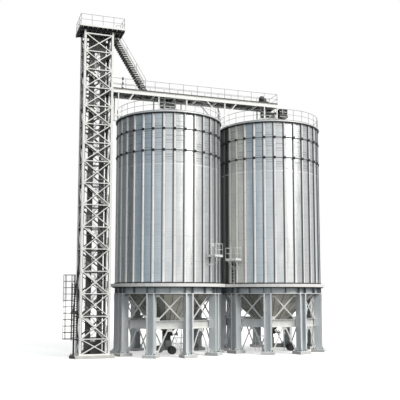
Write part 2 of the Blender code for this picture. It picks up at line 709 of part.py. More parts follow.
def tower_stairs():
    """A zigzag of steep flights round the elevator trunks, front and back in turn."""
    left = TOWER_LEFT + LACING + 0.02
    right = TOWER_RIGHT - LACING - 0.02
    flight_left, flight_right = LEFT_X - 7.92, LEFT_X - 6.36
    front = (TOWER_FRONT + POST + 0.02, -1.98)
    back = (-1.32, TOWER_BACK - POST - 0.02)
    parts = []
    floors = [TOWER_BASE_Z + GAP] + LEVELS[:-1]
    for i, (below, above) in enumerate(zip(floors, floors[1:])):
        steps = 7 if above - below > 1.7 else 6
        in_front = i % 2 == 1
        low_y, high_y = front if in_front else back
        # Front flights fall to the right, back flights fall to the left
        if in_front:
            outline = step_outline((flight_right, below), (flight_left, above), above - below, steps)
        else:
            outline = step_outline((flight_left, below), (flight_right, above), above - below, steps)
        parts.append(prism(outline, low_y, high_y))
        low_x, high_x = (left, flight_left + 0.01) if in_front else (flight_right - 0.01, right)
        parts.append(block((low_x, front[0], above - 0.06), (high_x, back[1], above)))
    return fused(parts)


add("bucket_elevator", bucket_elevator(), TRUNK_STEEL)
add("tower_stairs", tower_stairs(), LIGHT_STEEL)


def caged_ladder():
    """Ladder up the tower's left side, with safety hoops."""
    x = TOWER_LEFT - 0.28
    y = (TOWER_FRONT + TOWER_BACK) / 2
    low, high, cage_low = TOWER_BASE_Z + GAP, 7.05, 1.60
    parts = ladder((x, y), 0.45, low, high)
    reach = (x + HALF_LENGTH) / 0.85
    half_width, strap = 0.37, 0.03
    outer = [(0, -0.26), (-reach * 0.35, -half_width), (-reach * 0.85, -half_width * 0.6),
             (-reach * 0.85, half_width * 0.6), (-reach * 0.35, half_width), (0, 0.26)]
    inner = [(0, -0.20), (-reach * 0.35, strap - half_width), (strap - reach * 0.85, -half_width * 0.5),
             (strap - reach * 0.85, half_width * 0.5), (-reach * 0.35, half_width - strap), (0, 0.20)]
    hoops = 7
    for i in range(hoops):
        z = cage_low + (high - cage_low - 0.05) * i / (hoops - 1)
        parts.append(slab([(x + px, y + py) for px, py in outer + inner[::-1]], z - 0.025, z + 0.025))
    for s in (-0.4, 0.4):
        parts.append(block((x - reach * 0.85, y + s * half_width - 0.02, cage_low),
                           (x - reach * 0.85 + 0.02, y + s * half_width + 0.02, high - 0.06)))
    for z in (LEVELS[0] - 0.04, LEVELS[2] - 0.04):
        for s in (-0.225, 0.225):
            parts.append(block((x, y + s - 0.02, z - 0.02), (TOWER_LEFT - GAP, y + s + 0.02, z + 0.02)))
    return fused(parts)


add("tower_caged_ladder", caged_ladder(), STRUCTURAL)


# Conveyor bridge

def bridge_frame():
    """Two stringers with cross joists and a narrow deck. Posts stand on the roofs and on
    short beams that lie across the eaves, and knee braces steady them."""
    half, r = STRINGER / 2, SUPPORT_POST / 2
    front, back = BRIDGE_FRONT + half, BRIDGE_BACK - half
    inner_front, inner_back = front + half - 0.02, back - half + 0.02
    post_top = STRINGER_BOTTOM + 0.03
    joist_top = BRIDGE_DECK_Z - 0.05
    parts = [block((BRIDGE_START, y - half, STRINGER_BOTTOM), (BRIDGE_END, y + half, STRINGER_TOP))
             for y in (front, back)]
    first, last = BRIDGE_START + 0.06, BRIDGE_END - 0.06
    for i in range(BRIDGE_BAYS + 1):
        x = first + (last - first) * i / BRIDGE_BAYS
        parts.append(block((x - JOIST / 2, inner_front, joist_top - JOIST_DEPTH),
                           (x + JOIST / 2, inner_back, joist_top)))
    parts.append(block((BRIDGE_START, inner_front, BRIDGE_DECK_Z - DECK_PLATE),
                       (BRIDGE_END, STAIR_BACK, BRIDGE_DECK_Z)))
    on_roof = [(SILOS["left"], x) for x in (-1.35, 1.35)]
    on_roof += [(SILOS["right"], x) for x in (-1.00, 0.34)]
    for silo, x in on_roof:
        for y in (front, back):
            seat = roof_seat(silo, (x - r, y - r), (x + r, y + r))
            parts.append(block((silo["x"] + x - r, y - r, seat),
                               (silo["x"] + x + r, y + r, post_top)))
    eave = EAVE_Z + GAP + ROOF_LIP + GAP
    # Post, then the two ends of the beam that carries it
    on_eaves = [(END_POST_X, front, BRIDGE_START, LEFT_X - 4.68),
                (END_POST_X, back, END_POST_X - 0.10, LEFT_X - 4.845),
                (MIDDLE_POST_X, front, LEFT_X + 4.69, RIGHT_X - 4.68),
                (MIDDLE_POST_X, back, LEFT_X + 4.845, RIGHT_X - 4.845)]
    for x, y, start, end in on_eaves:
        parts.append(block((start, y - half, eave), (end, y + half, eave + EAVE_BEAM)))
        parts.append(block((x - r, y - r, eave + 0.02), (x + r, y + r, post_top)))
    # Knee braces: foot height, then the head's distance along the stringer
    knees = [(END_POST_X, front, 21.50, 1.43), (MIDDLE_POST_X, front, 21.72, -1.82),
             (MIDDLE_POST_X, front, 22.02, 1.19), (MIDDLE_POST_X, back, 21.72, -1.82)]
    for x, y, z, reach in knees:
        parts.append(bar((x, y, z), (x + reach, y, post_top), KNEE, KNEE))
    return fused(parts)


def bridge_conveyor():
    """Closed conveyor trough on the joists, its drive, and a spout down to each roof inlet."""
    foot = BRIDGE_DECK_Z - 0.05 + GAP
    top = foot + 0.45
    roof_inlet = EAVE_Z + GAP + ROOF_LIP + ROOF_RISE + COLLAR_HEIGHT + GAP
    parts = [block((BRIDGE_START + 0.05, -0.36, foot), (RIGHT_X + 0.36, 0.28, top))]
    for x in (LEFT_X, RIGHT_X):
        parts.append(block((x - 0.22, -0.24, roof_inlet), (x + 0.22, 0.22, foot + 0.1)))
        parts.append(block((x - 0.34, -0.34, roof_inlet), (x + 0.34, 0.34, roof_inlet + 0.05)))
    drum = turned([(0.27, -0.45), (0.27, 0.45), (0.03, 0.45), (0.03, -0.45)], 12)
    lying = Matrix.Rotation(math.pi / 2, 4, "X")
    drum.transform(Matrix.Translation((RIGHT_X - 0.66, -0.12, top + 0.20)) @ lying)
    parts.append(drum)
    return fused(parts)


def bridge_stair():
    """Steep open stair from the tower platform down to the bridge deck."""
    head_x, head_z = STAIR_HEAD + GAP, PLATFORM_Z
    foot_x, foot_z = STAIR_FOOT, BRIDGE_DECK_Z + GAP
    run, drop = foot_x - head_x, head_z - foot_z
    steps, plate, rail = 24, 0.04, 0.05
    stringer = [(head_x, head_z), (head_x, head_z - 0.34), (foot_x - 0.13, foot_z),
                (foot_x + 0.03, foot_z)]
    parts = []
    for i in range(1, steps):
        x, z = head_x + run * i / steps, head_z - drop * i / steps
        parts.append(block((x - 0.14, STAIR_FRONT + 0.02, z - 0.06),
                           (x + 0.06, STAIR_BACK - 0.02, z - 0.03)))
    for y in (STAIR_FRONT, STAIR_BACK - plate):
        parts.append(prism(stringer, y, y + plate))
        for t in (0.04, 0.50, 0.96):
            x, z = head_x + run * t, head_z - drop * t
            parts.append(block((x - 0.02, y, z - 0.1), (x + 0.02, y + plate, z + 0.98)))
        ends = [(head_x + run * t, y + plate / 2, head_z - drop * t + 0.97) for t in (0.03, 0.97)]
        parts.append(bar(ends[0], ends[1], rail, plate))
    return fused(parts)


edge = STRINGER / 2
bridge_corners = [(BRIDGE_START + 0.05, BRIDGE_FRONT + edge), (BRIDGE_END - 0.05, BRIDGE_FRONT + edge),
                  (BRIDGE_END - 0.05, BRIDGE_BACK - edge), (BRIDGE_START + 0.05, BRIDGE_BACK - edge)]
add("bridge_frame", bridge_frame(), LIGHT_STEEL)
add("bridge_rail", path_rail(bridge_corners, STRINGER_TOP + GAP, HANDRAIL_HEIGHT, 1.40), LIGHT_STEEL)
add("bridge_conveyor", bridge_conveyor(), TRUNK_STEEL)
add("bridge_stair", bridge_stair(), LIGHT_STEEL)


def roof_fan():
    """Fan housing on a curb near the top of the second roof."""
    low, high = (0.60, -1.45), (1.48, -0.62)
    seat = roof_seat(SILOS["right"], low, high)
    return fused([
        block((low[0], low[1], seat), (high[0], high[1], seat + 0.22)),
        block((low[0] + 0.06, low[1] + 0.06, seat + 0.2), (high[0] - 0.06, high[1] - 0.06, seat + 0.84)),
    ])


add("right_roof_fan", roof_fan(), DARK_MACHINE, SILOS["right"]["axis"])
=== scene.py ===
import math

import bpy
from mathutils import Matrix, Vector


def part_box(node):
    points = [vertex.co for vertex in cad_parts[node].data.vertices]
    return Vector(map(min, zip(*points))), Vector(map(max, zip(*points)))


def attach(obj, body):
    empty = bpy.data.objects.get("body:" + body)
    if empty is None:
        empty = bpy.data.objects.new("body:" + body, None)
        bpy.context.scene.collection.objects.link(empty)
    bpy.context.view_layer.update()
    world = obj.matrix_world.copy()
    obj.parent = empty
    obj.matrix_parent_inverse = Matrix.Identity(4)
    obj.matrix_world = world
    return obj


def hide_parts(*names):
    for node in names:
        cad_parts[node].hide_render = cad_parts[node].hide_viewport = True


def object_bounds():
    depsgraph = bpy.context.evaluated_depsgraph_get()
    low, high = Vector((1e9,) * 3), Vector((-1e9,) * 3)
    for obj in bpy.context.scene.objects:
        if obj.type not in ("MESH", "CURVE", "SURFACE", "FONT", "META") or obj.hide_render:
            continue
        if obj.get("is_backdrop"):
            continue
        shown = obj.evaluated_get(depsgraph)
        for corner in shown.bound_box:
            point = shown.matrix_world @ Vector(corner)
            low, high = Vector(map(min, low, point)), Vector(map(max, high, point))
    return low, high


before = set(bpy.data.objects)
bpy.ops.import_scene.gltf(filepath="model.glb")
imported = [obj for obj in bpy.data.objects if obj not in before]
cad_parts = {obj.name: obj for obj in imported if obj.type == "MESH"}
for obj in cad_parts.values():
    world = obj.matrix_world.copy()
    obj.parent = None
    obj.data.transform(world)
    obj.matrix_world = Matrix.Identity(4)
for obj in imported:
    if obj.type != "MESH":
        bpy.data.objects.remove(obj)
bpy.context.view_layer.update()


# The photographer stands on the ground well in front of the tower, looks a little
# to the right and up along the plant, and shifts the lens to keep the feet in view.
bpy.ops.object.camera_add(
    location=(-20.42, -60.18, 5.36),
    rotation=(math.radians(95.92), 0, math.radians(-18.93)),
)
camera = bpy.context.object
camera.name = "photographer"
camera.data.sensor_width = 36
camera.data.lens = 61.0
camera.data.shift_y = 0.06
camera.data.clip_end = 1500
bpy.context.scene.camera = camera


# The floor is a wide sheet of white studio paper, and the plant stands flat on it.
# Its grain is so fine that only a slight change of tone shows.
class Paint:
    """A socket of a material. Sums on it add Math nodes."""

    def __init__(self, tree, socket=None):
        self.tree = tree
        self.socket = socket

    def node(self, kind, settings, values, output=0):
        """Add a node: its settings first, then the values or links of its sockets."""
        made = self.tree.nodes.new("ShaderNode" + kind)
        for name, value in settings.items():
            if name == "stops":
                ramp = made.color_ramp
                while len(ramp.elements) < len(value):
                    ramp.elements.new(0.5)
                for element, (place, colour) in zip(ramp.elements, value):
                    element.position = place
                    element.color = (*colour, 1)
            else:
                setattr(made, name, value)
        for key, value in values.items():
            if isinstance(value, Paint):
                self.tree.links.new(value.socket, made.inputs[key])
            else:
                made.inputs[key].default_value = value
        return Paint(self.tree, made.outputs[output])

    def maths(self, operation, first, second=0.0):
        return self.node("Math", {"operation": operation}, {0: first, 1: second})

    def __add__(self, other):
        return self.maths("ADD", self, other)

    def __radd__(self, other):
        return self.maths("ADD", other, self)

    def __sub__(self, other):
        return self.maths("SUBTRACT", self, other)

    def __rsub__(self, other):
        return self.maths("SUBTRACT", other, self)

    def __mul__(self, other):
        return self.maths("MULTIPLY", self, other)

    def __truediv__(self, other):
        return self.maths("DIVIDE", self, other)

    def __lt__(self, other):
        return self.maths("LESS_THAN", self, other)

    def __gt__(self, other):
        return self.maths("GREATER_THAN", self, other)

    def parts(self, vector):
        """The three numbers of a vector."""
        split = self.node("SeparateXYZ", {}, {0: vector}).socket.node
        return [Paint(self.tree, split.outputs[axis]) for axis in range(3)]

    def ease(self, value, start, end, low, high):
        """Turn a value from start to end softly into one from low to high."""
        return self.node("MapRange", {"interpolation_type": "SMOOTHSTEP"},
                         {0: value, 1: start, 2: end, 3: low, 4: high})

    def stretched(self, scale):
        return self.node("Mapping", {}, {"Vector": self, "Scale": scale})

    def blend(self, factor, first, second):
        """Mix of two colours."""
        return self.node("Mix", {"data_type": "RGBA"}, {0: factor, 6: first, 7: second}, 2)

    def cloud(self, place, size, detail=3.0, rough=0.5):
        """Soft noise from 0 to 1, with patches of about the given size in metres."""
        values = {"Vector": place, "Scale": 1 / size, "Detail": detail, "Roughness": rough}
        return self.node("TexNoise", {}, values)

    def ramp(self, factor, stops):
        return self.node("ValToRGB", {"stops": stops}, {0: factor})


def new_material(name, metallic=0.0, roughness=0.5):
    """A material with its shader, and the place on the piece as the first socket."""
    material = bpy.data.materials.new(name)
    material.use_nodes = True
    tree = material.node_tree
    shader = tree.nodes["Principled BSDF"]
    shader.inputs["Metallic"].default_value = metallic
    shader.inputs["Roughness"].default_value = roughness
    place = Paint(tree).node("TexCoord", {}, {}, "Object")
    return material, shader, place


def colour_from(shader, paint, socket="Base Color"):
    paint.tree.links.new(paint.socket, shader.inputs[socket])


def bumped(shader, height, depth):
    """Raise the surface by a height from 0 to 1, up to a depth in metres."""
    bump = height.node("Bump", {}, {"Height": height, "Distance": depth, "Strength": 1.0})
    colour_from(shader, bump, "Normal")


bpy.ops.object.select_all(action="DESELECT")
bpy.ops.mesh.primitive_grid_add(x_subdivisions=8, y_subdivisions=8, size=900)
floor = bpy.context.object
floor.name = "studio_floor"
paper, shader, place = new_material("studio_paper", 0.0, 0.9)
colour_from(shader, place.ramp(place.cloud(place, 0.8), [(0.3, (0.86, 0.86, 0.86)),
                                                         (0.7, (0.88, 0.88, 0.88))]))
floor.data.materials.append(paper)
shader.inputs["Emission Color"].default_value = (1, 1, 1, 1)
shader.inputs["Emission Strength"].default_value = 0.42
floor.visible_glossy = False
floor.visible_diffuse = False
floor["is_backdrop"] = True


# The light is a white studio with a large soft lamp at the right in front. A dark
# grey-blue screen stands far behind at the left, and the bright sheets mirror it.
bpy.context.scene.view_settings.view_transform = "Standard"
world = bpy.data.worlds.new("studio")
bpy.context.scene.world = world
world.use_nodes = True
backdrop = world.node_tree.nodes["Background"]
way = Paint(world.node_tree).node("TexCoord", {}, {}, "Generated")
east, north, up = way.parts(way)
around = way.maths("ARCTAN2", east, 0 - north) / math.tau + 0.5
studio = way.ramp(around, [
    (0.00, (0.62, 0.63, 0.63)),
    (0.035, (0.34, 0.35, 0.35)),
    (0.07, (0.10, 0.11, 0.115)),
    (0.115, (0.14, 0.165, 0.175)),
    (0.18, (0.12, 0.155, 0.18)),
    (0.25, (0.14, 0.20, 0.245)),
    (0.29, (0.22, 0.30, 0.36)),
    (0.34, (0.36, 0.44, 0.50)),
    (0.40, (0.64, 0.71, 0.76)),
    (0.455, (0.86, 0.88, 0.89)),
    (0.50, (0.86, 0.86, 0.85)),
    (0.55, (0.60, 0.60, 0.59)),
    (0.61, (0.44, 0.44, 0.43)),
    (0.68, (0.68, 0.68, 0.67)),
    (0.80, (0.80, 0.81, 0.82)),
    (0.90, (0.80, 0.80, 0.79)),
    (1.00, (0.62, 0.63, 0.63)),
])
soft = way.ramp(around, [
    (0.00, (0.72, 0.73, 0.73)),
    (0.15, (0.48, 0.50, 0.51)),
    (0.30, (0.56, 0.58, 0.58)),
    (0.40, (0.68, 0.70, 0.71)),
    (0.60, (0.88, 0.88, 0.87)),
    (0.80, (0.84, 0.84, 0.83)),
    (1.00, (0.72, 0.73, 0.73)),
])
scattered = way.node("LightPath", {}, {}, "Is Diffuse Ray")
ground = way.ease(up, -0.10, 0.25, 1.0, 0.0)
studio = way.blend(scattered, studio, soft)
studio = way.blend(scattered * ground, studio, (0.05, 0.052, 0.055, 1))
seen = way.node("LightPath", {}, {}, "Is Camera Ray")
colour = way.blend(seen, studio, (1, 1, 1, 1))
world.node_tree.links.new(colour.socket, backdrop.inputs["Color"])
backdrop.inputs["Strength"].default_value = 1.0

bpy.ops.object.light_add(type="SUN", location=(40, -40, 50))
lamp = bpy.context.object
lamp.name = "soft_lamp"
lamp.data.energy = 2.4
lamp.data.angle = math.radians(26)
lamp.data.color = (1.0, 0.98, 0.94)
lamp.rotation_euler = Vector((0.46, -0.65, 0.60)).to_track_quat("Z", "Y").to_euler()


# The walls are rings of galvanised sheet, rolled with fine level waves and bolted
# edge to edge. Each silo's wall is one thin shell that stands in the ring girder.
def alone(piece):
    """Select a piece alone and make it active."""
    bpy.ops.object.select_all(action="DESELECT")
    piece.select_set(True)
    bpy.context.view_layer.objects.active = piece


def edit(piece, action="SELECT", kind="VERT"):
    """Open a piece alone in edit mode, with all or nothing on it selected."""
    alone(piece)
    bpy.ops.object.mode_set(mode="EDIT")
    bpy.ops.mesh.select_mode(type=kind)
    bpy.ops.mesh.select_all(action=action)


def close_edit():
    bpy.ops.object.mode_set(mode="OBJECT")


def placed():
    """Apply the place, turn and scale of a new primitive, and return it."""
    bpy.ops.object.transform_apply(location=True, rotation=True, scale=True)
    return bpy.context.object


def drawn(points):
    """A line of edges, drawn by extruding its last corner from point to point."""
    bpy.ops.object.select_all(action="DESELECT")
    bpy.ops.mesh.primitive_plane_add(size=1, location=points[0])
    line = placed()
    edit(line)
    bpy.ops.mesh.merge(type="CENTER")
    for start, end in zip(points, points[1:]):
        step = Vector(end) - Vector(start)
        bpy.ops.mesh.extrude_vertices_move(TRANSFORM_OT_translate={"value": step})
    close_edit()
    return line


MERGE_GAP = 0.0002


def clean(piece):
    """Merge doubles and turn all faces outwards."""
    edit(piece)
    bpy.ops.mesh.remove_doubles(threshold=MERGE_GAP)
    bpy.ops.mesh.normals_make_consistent(inside=False)
    close_edit()


def spun(profile, segments, centre=(0, 0, 0)):
    """A closed profile of (radius, height) points, spun all the way round an axis."""
    corners = [(r, 0, z) for r, z in profile]
    piece = drawn(corners + corners[:1])
    edit(piece)
    bpy.ops.mesh.remove_doubles(threshold=MERGE_GAP)
    bpy.ops.mesh.spin(steps=segments, angle=math.tau, center=(0, 0, 0), axis=(0, 0, 1))
    close_edit()
    clean(piece)
    piece.data.transform(Matrix.Translation(centre))
    return piece


def ring(inner, outer, low, high, centre=(0, 0, 0), segments=96):
    """A flat-sided ring round an upright axis."""
    return spun([(inner, low), (outer, low), (outer, high), (inner, high)], segments, centre)


def modified(piece, kind, **settings):
    """Add one modifier and apply it."""
    alone(piece)
    modifier = piece.modifiers.new(kind.lower(), kind)
    for key, value in settings.items():
        setattr(modifier, key, value)
    bpy.ops.object.modifier_apply(modifier=modifier.name)
    return piece


def smoothed(piece, degrees):
    alone(piece)
    bpy.ops.object.shade_smooth_by_angle(angle=math.radians(degrees))
    return piece


def joined(pieces):
    bpy.ops.object.select_all(action="DESELECT")
    for piece in pieces:
        piece.select_set(True)
    bpy.context.view_layer.objects.active = pieces[0]
    if len(pieces) > 1:
        bpy.ops.object.join()
    return bpy.context.view_layer.objects.active


def copies(pattern, places):
    """Copies of a pattern, each with its own mesh at its place, joined into one piece."""
    made = []
    for place in places:
        twin = bpy.data.objects.new(pattern.name, pattern.data.copy())
        twin.data.transform(place)
        bpy.context.scene.collection.objects.link(twin)
        made.append(twin)
    bpy.data.objects.remove(pattern)
    return joined(made)


def settle(piece, name, material, slot, *nodes):
    """Name a finished piece, give it its finish and let it ride on the plant."""
    piece.name = name
    piece.data.name = name
    piece.data.materials.clear()
    piece.data.materials.append(material)
    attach(piece, "root")
    if nodes:
        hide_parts(*nodes)


SILOS = {
    "left": {"x": -2.90, "panels": math.radians(1.2 - 90), "legs": math.radians(6.11 - 90),
             "dark": (0.0, 0.0), "painted_light_side": (0.0, 0.0)},
    "right": {"x": 7.37, "panels": math.radians(4.2 - 90), "legs": math.radians(12.66 - 90),
              "dark": (-0.985, 0.174), "painted_light_side": (-0.90, -0.436)},
}
for silo in SILOS.values():
    silo["centre"] = Vector((silo["x"], 0, 0))
PANELS = 32
PANEL = math.tau / PANELS
WALL_CREST = 4.775
WALL_LOW, WALL_HIGH = 6.0203, 21.198
SHEET_HEIGHT = (WALL_HIGH - WALL_LOW) / 14
WAVES = 144
WAVE = (WALL_HIGH - WALL_LOW) / WAVES
WAVE_DEPTH = 0.011
UPPER_SHEETS = 16.60


def panel_place(place, silo):
    """Place round one silo's axis, panels passed on the way round, and height."""
    local = place.node("Mapping", {}, {"Vector": place, "Location": (-silo["x"], 0, 0)})
    x, y, z = local.parts(local)
    return local, (local.maths("ARCTAN2", y, x) - silo["panels"]) / PANEL, z


def facing(local, direction, start, end, strength):
    """Mask over a silo's side: nothing up to one reach in a direction, full from another."""
    x, y, z = local.parts(local)
    reach = x * direction[0] + y * direction[1]
    return local.ease(reach, start, end, 0.0, strength)


def painted_gap_shade(local, silo):
    """Painted shade where a silo faces the other one, in the narrow gap between them."""
    return facing(local, silo["dark"], 4.30, 4.50, 0.90)


def darker(colour, mask, shade):
    """Multiply a colour by a shade where the mask is 1."""
    return colour.node("Mix", {"data_type": "RGBA", "blend_type": "MULTIPLY"},
                       {0: mask, 6: colour, 7: (*shade, 1)}, 2)


def chance(column, row):
    """A number from 0 to 1 that is the same all over one sheet or wave."""
    cell = column.node("CombineXYZ", {}, {0: column, 1: row})
    return column.node("TexWhiteNoise", {"noise_dimensions": "3D"}, {0: cell}, "Value")


SHEET_TONES = [(0.18, (0.64, 0.67, 0.69)), (0.42, (0.82, 0.84, 0.85)), (0.66, (0.95, 0.95, 0.95))]


def sheet_material(name, silo):
    """Galvanised sheet: each sheet has its own tone, with spangle and laps. Painted shade darkens
    the wave valleys, every other pair of waves, the wall beside each stiffener and the side that
    faces the other silo, and a painted band of light lies where the other silo throws its light."""
    material, shader, place = new_material(name)
    local, panels, z = panel_place(place, silo)
    # A painted band of light, tinted warm and made less metallic, where the other silo throws its
    # light.
    painted_light_band = facing(local, silo["painted_light_side"], 4.56, 4.70, 1.0)
    column = local.maths("FLOOR", panels)
    across = local.maths("FRACT", panels)
    height = z - WALL_LOW
    own = chance(column, local.maths("FLOOR", height / SHEET_HEIGHT) * 0.35 + 7.7)
    strip = local.node("TexWhiteNoise", {"noise_dimensions": "1D"}, {1: column + 11.3}, "Value")
    streak = local.cloud(local.stretched((1, 1, 0.12)), 0.35, 4)
    spangle = local.node("TexVoronoi", {}, {"Vector": local, "Scale": 22.0}, "Color")
    tone = own * 0.10 + strip * 0.22 + streak * 0.45 + local.parts(spangle)[0] * 0.10
    valley_shade = local.maths("COSINE", height * (math.tau / WAVE)) * -0.5 + 0.5
    upper = z > UPPER_SHEETS
    shaded = local.ramp(tone, SHEET_TONES)
    # Painted shade in the wave valleys, deeper on the upper sheets.
    shaded = darker(shaded, valley_shade * (upper * 0.22 + 0.18), (0.25, 0.27, 0.28))
    # Painted shade on every other pair of waves, at a random depth for each pair, deeper on the
    # upper sheets.
    pair = height / (2 * WAVE)
    pressed_wave_shade = local.maths("FRACT", pair) < 0.5
    deep = chance(column, local.maths("FLOOR", pair))
    shaded = darker(shaded, pressed_wave_shade * deep * deep * (upper * 0.34 + 0.12), (0.22, 0.24, 0.26))
    # Painted shadow on the wall beside each stiffener: wide and dark on its left, narrow and faint
    # on its right.
    shaded = darker(shaded, (across > 0.79) * 0.66 + (across < 0.185) * 0.20, (0.16, 0.18, 0.20))
    # Painted light: the band's warm tint.
    shaded = darker(shaded, painted_light_band, (1.0, 0.985, 0.90))
    # Painted shade on the side of the wall that faces the other silo.
    gap_shade = painted_gap_shade(local, silo)
    colour_from(shader, darker(shaded, gap_shade, (0.09, 0.10, 0.09)))
    colour_from(shader, painted_light_band * -0.74 + 0.92, "Metallic")
    lap = (local.maths("FRACT", height / SHEET_HEIGHT) < 0.018) * 0.12
    colour_from(shader, streak * 0.14 + 0.24 + lap, "Roughness")
    return material


for side, silo in SILOS.items():
    wave = [(0, 0), (-WAVE_DEPTH / 2, 0.25), (-WAVE_DEPTH, 0.5), (-WAVE_DEPTH / 2, 0.75), (0, 1)]
    wall = drawn([(WALL_CREST + r, 0, WALL_LOW + step * WAVE) for r, step in wave])
    modified(wall, "ARRAY", count=WAVES, use_relative_offset=False, use_constant_offset=True,
             constant_offset_displace=(0, 0, WAVE), use_merge_vertices=True,
             merge_threshold=0.0005)
    edit(wall)
    bpy.ops.mesh.spin(steps=96, angle=math.tau, center=(0, 0, 0), axis=(0, 0, 1))
    bpy.ops.mesh.select_all(action="SELECT")
    bpy.ops.mesh.remove_doubles(threshold=0.0005)
    bpy.ops.mesh.select_mode(type="EDGE")
    bpy.ops.mesh.select_all(action="DESELECT")
    bpy.ops.mesh.select_non_manifold()
    bpy.ops.mesh.extrude_edges_move()
    bpy.ops.transform.resize(value=(0.9935, 0.9935, 1), center_override=(0, 0, 0))
    bpy.ops.mesh.bridge_edge_loops()
    close_edit()
    clean(wall)
    smoothed(wall, 60)
    wall.data.transform(Matrix.Translation(silo["centre"]))
    sheets = sheet_material(side + "_corrugated_sheet", silo)
    settle(wall, side + "_corrugated_wall", sheets, "wall_sheet",
           side + "_wall_front", side + "_wall_back")


# The stiffeners are hat sections rolled from thick galvanised strip. They stand over
# the sheets' laps, and two wind rings are clamped to them below the eave.
HAT = [(0.0024, -0.135), (0.0024, -0.088), (0.0825, -0.058), (0.0825, 0.058),
       (0.0024, 0.088), (0.0024, 0.135)]
RING_HEIGHTS = (17.86, 19.75)


def lifted(piece, height):
    """Extrude all of a flat outline up by a height."""
    edit(piece)
    bpy.ops.mesh.extrude_region_move(TRANSFORM_OT_translate={"value": (0, 0, height)})
    close_edit()
    return piece


def turned(angle, x=0.0):
    """Turn about Z at the origin, and then a move along the plant."""
    return Matrix.Translation((x, 0, 0)) @ Matrix.Rotation(angle, 4, "Z")


def block(low, high, bevel=0.0, segments=1):
    """A block from corner to corner, its edges rounded off by a bevel."""
    low, high = Vector(low), Vector(high)
    bpy.ops.object.select_all(action="DESELECT")
    bpy.ops.mesh.primitive_cube_add(size=1, location=(low + high) / 2, scale=high - low)
    piece = placed()
    if bevel:
        modified(piece, "BEVEL", width=bevel, segments=segments)
    return piece


def finish(name, dark, light, metallic, roughness, patch=0.5, dirt=None):
    """Plain finish with soft patches of tone and a little wear in its gloss."""
    material, shader, place = new_material(name, metallic, roughness)
    patches = place.cloud(place.stretched((1, 1, 0.35)), patch, 5, 0.6)
    fine = place.cloud(place, patch * 0.08, 3)
    colour = place.ramp(patches * 0.75 + fine * 0.25, [(0.30, dark), (0.68, light)])
    if dirt:
        start, end, shade = dirt
        low = place.ease(place.parts(place)[2], start, end, 1.0, 0.0)
        colour = place.blend(low * (0.35 + patches * 0.6), colour, (*shade, 1))
    colour_from(shader, colour)
    colour_from(shader, roughness - 0.08 + patches * 0.18, "Roughness")
    bumped(shader, fine, 0.002)
    return material


galvanised = finish("galvanised_strip", (0.80, 0.81, 0.82), (0.93, 0.93, 0.93), 0.70, 0.50)
ring_steel = finish("wind_ring_steel", (0.10, 0.11, 0.12), (0.20, 0.21, 0.22), 0.5, 0.5)
clamp_steel = finish("clamp_steel", (0.015, 0.015, 0.018), (0.045, 0.045, 0.05), 0.2, 0.6, 0.2)


def strip_material(name, silo):
    """Stiffener finish: bright outer face, and painted shade down its left flank."""
    material, shader, place = new_material(name, metallic=0.10)
    local, panels, z = panel_place(place, silo)
    across = local.maths("FRACT", panels)
    streak = local.cloud(local.stretched((1, 1, 0.2)), 0.5, 4)
    colour = local.ramp(streak, [(0.30, (0.88, 0.88, 0.88)), (0.68, (0.98, 0.98, 0.98))])
    left_flank_shade = (across > 0.5) * (across < 0.938)
    joint = local.maths("FRACT", (z - WALL_LOW) / (2 * SHEET_HEIGHT)) < 0.012
    # Painted shade down each stiffener's left flank.
    colour = darker(colour, left_flank_shade * 0.90, (0.08, 0.10, 0.12))
    colour = darker(colour, joint * 0.6, (0.30, 0.31, 0.32))
    # Painted shade on the stiffeners' side that faces the other silo.
    gap_shade = painted_gap_shade(local, silo)
    colour_from(shader, darker(colour, gap_shade, (0.14, 0.15, 0.14)))
    colour_from(shader, streak * 0.16 + 0.40 + left_flank_shade * 0.2, "Roughness")
    return material


def panel_angles(silo):
    return [silo["panels"] + i * PANEL for i in range(PANELS)]


for side, silo in SILOS.items():
    seats = [turned(angle, silo["x"]) for angle in panel_angles(silo)]
    hat = lifted(drawn([(WALL_CREST + r, y, WALL_LOW + 0.002) for r, y in HAT]),
                 WALL_HIGH - WALL_LOW - 0.006)
    modified(hat, "SOLIDIFY", thickness=0.004, offset=0)
    clean(hat)
    strip = strip_material(side + "_stiffener_strip", silo)
    settle(copies(hat, seats), side + "_stiffeners", strip, "stiffener_steel",
           side + "_stiffener_cage")
    rings, clamps = [], []
    for height in RING_HEIGHTS:
        section = [(4.806, -0.03), (4.850, -0.03), (4.850, 0.03), (4.842, 0.03),
                   (4.842, -0.022), (4.806, -0.022)]
        rings.append(spun([(r, height + z) for r, z in section], 96, silo["centre"]))
        clamps.append(copies(block((4.8265, -0.12, height - 0.11), (4.9015, 0.12, height + 0.11),
                                   0.02, 2), seats))
    settle(joined(clamps), side + "_ring_clamps", clamp_steel, "machine_dark")
    settle(joined(rings), side + "_wind_rings", ring_steel, "stiffener_steel")
    # A bright lap band runs round the wall where the upper, thinner sheets begin.
    band = ring(4.7753, 4.7785, UPPER_SHEETS, UPPER_SHEETS + 0.08, silo["centre"])
    settle(band, side + "_lap_band", galvanised, "wall_sheet")


# The roof is a low cone of ribbed sheets with a rolled lip at the eave and a collar
# under the conveyor's spout. Its standing seams run from the lip up to the collar.
roof_sheet = finish("roof_sheet", (0.70, 0.72, 0.73), (0.88, 0.89, 0.89), 0.35, 0.40, 1.4)
EAVE = 21.2003
LIP_TOP = EAVE + 0.10
ROOF_PEAK = LIP_TOP + 1.42


def assigned(material, *names):
    """Give carried-over nodes their finish."""
    for name in names:
        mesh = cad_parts[name].data
        mesh.materials.clear()
        mesh.materials.append(material)


def outward(angle):
    return Vector((math.cos(angle), math.sin(angle), 0))


def lift(height):
    return Vector((0, 0, height))


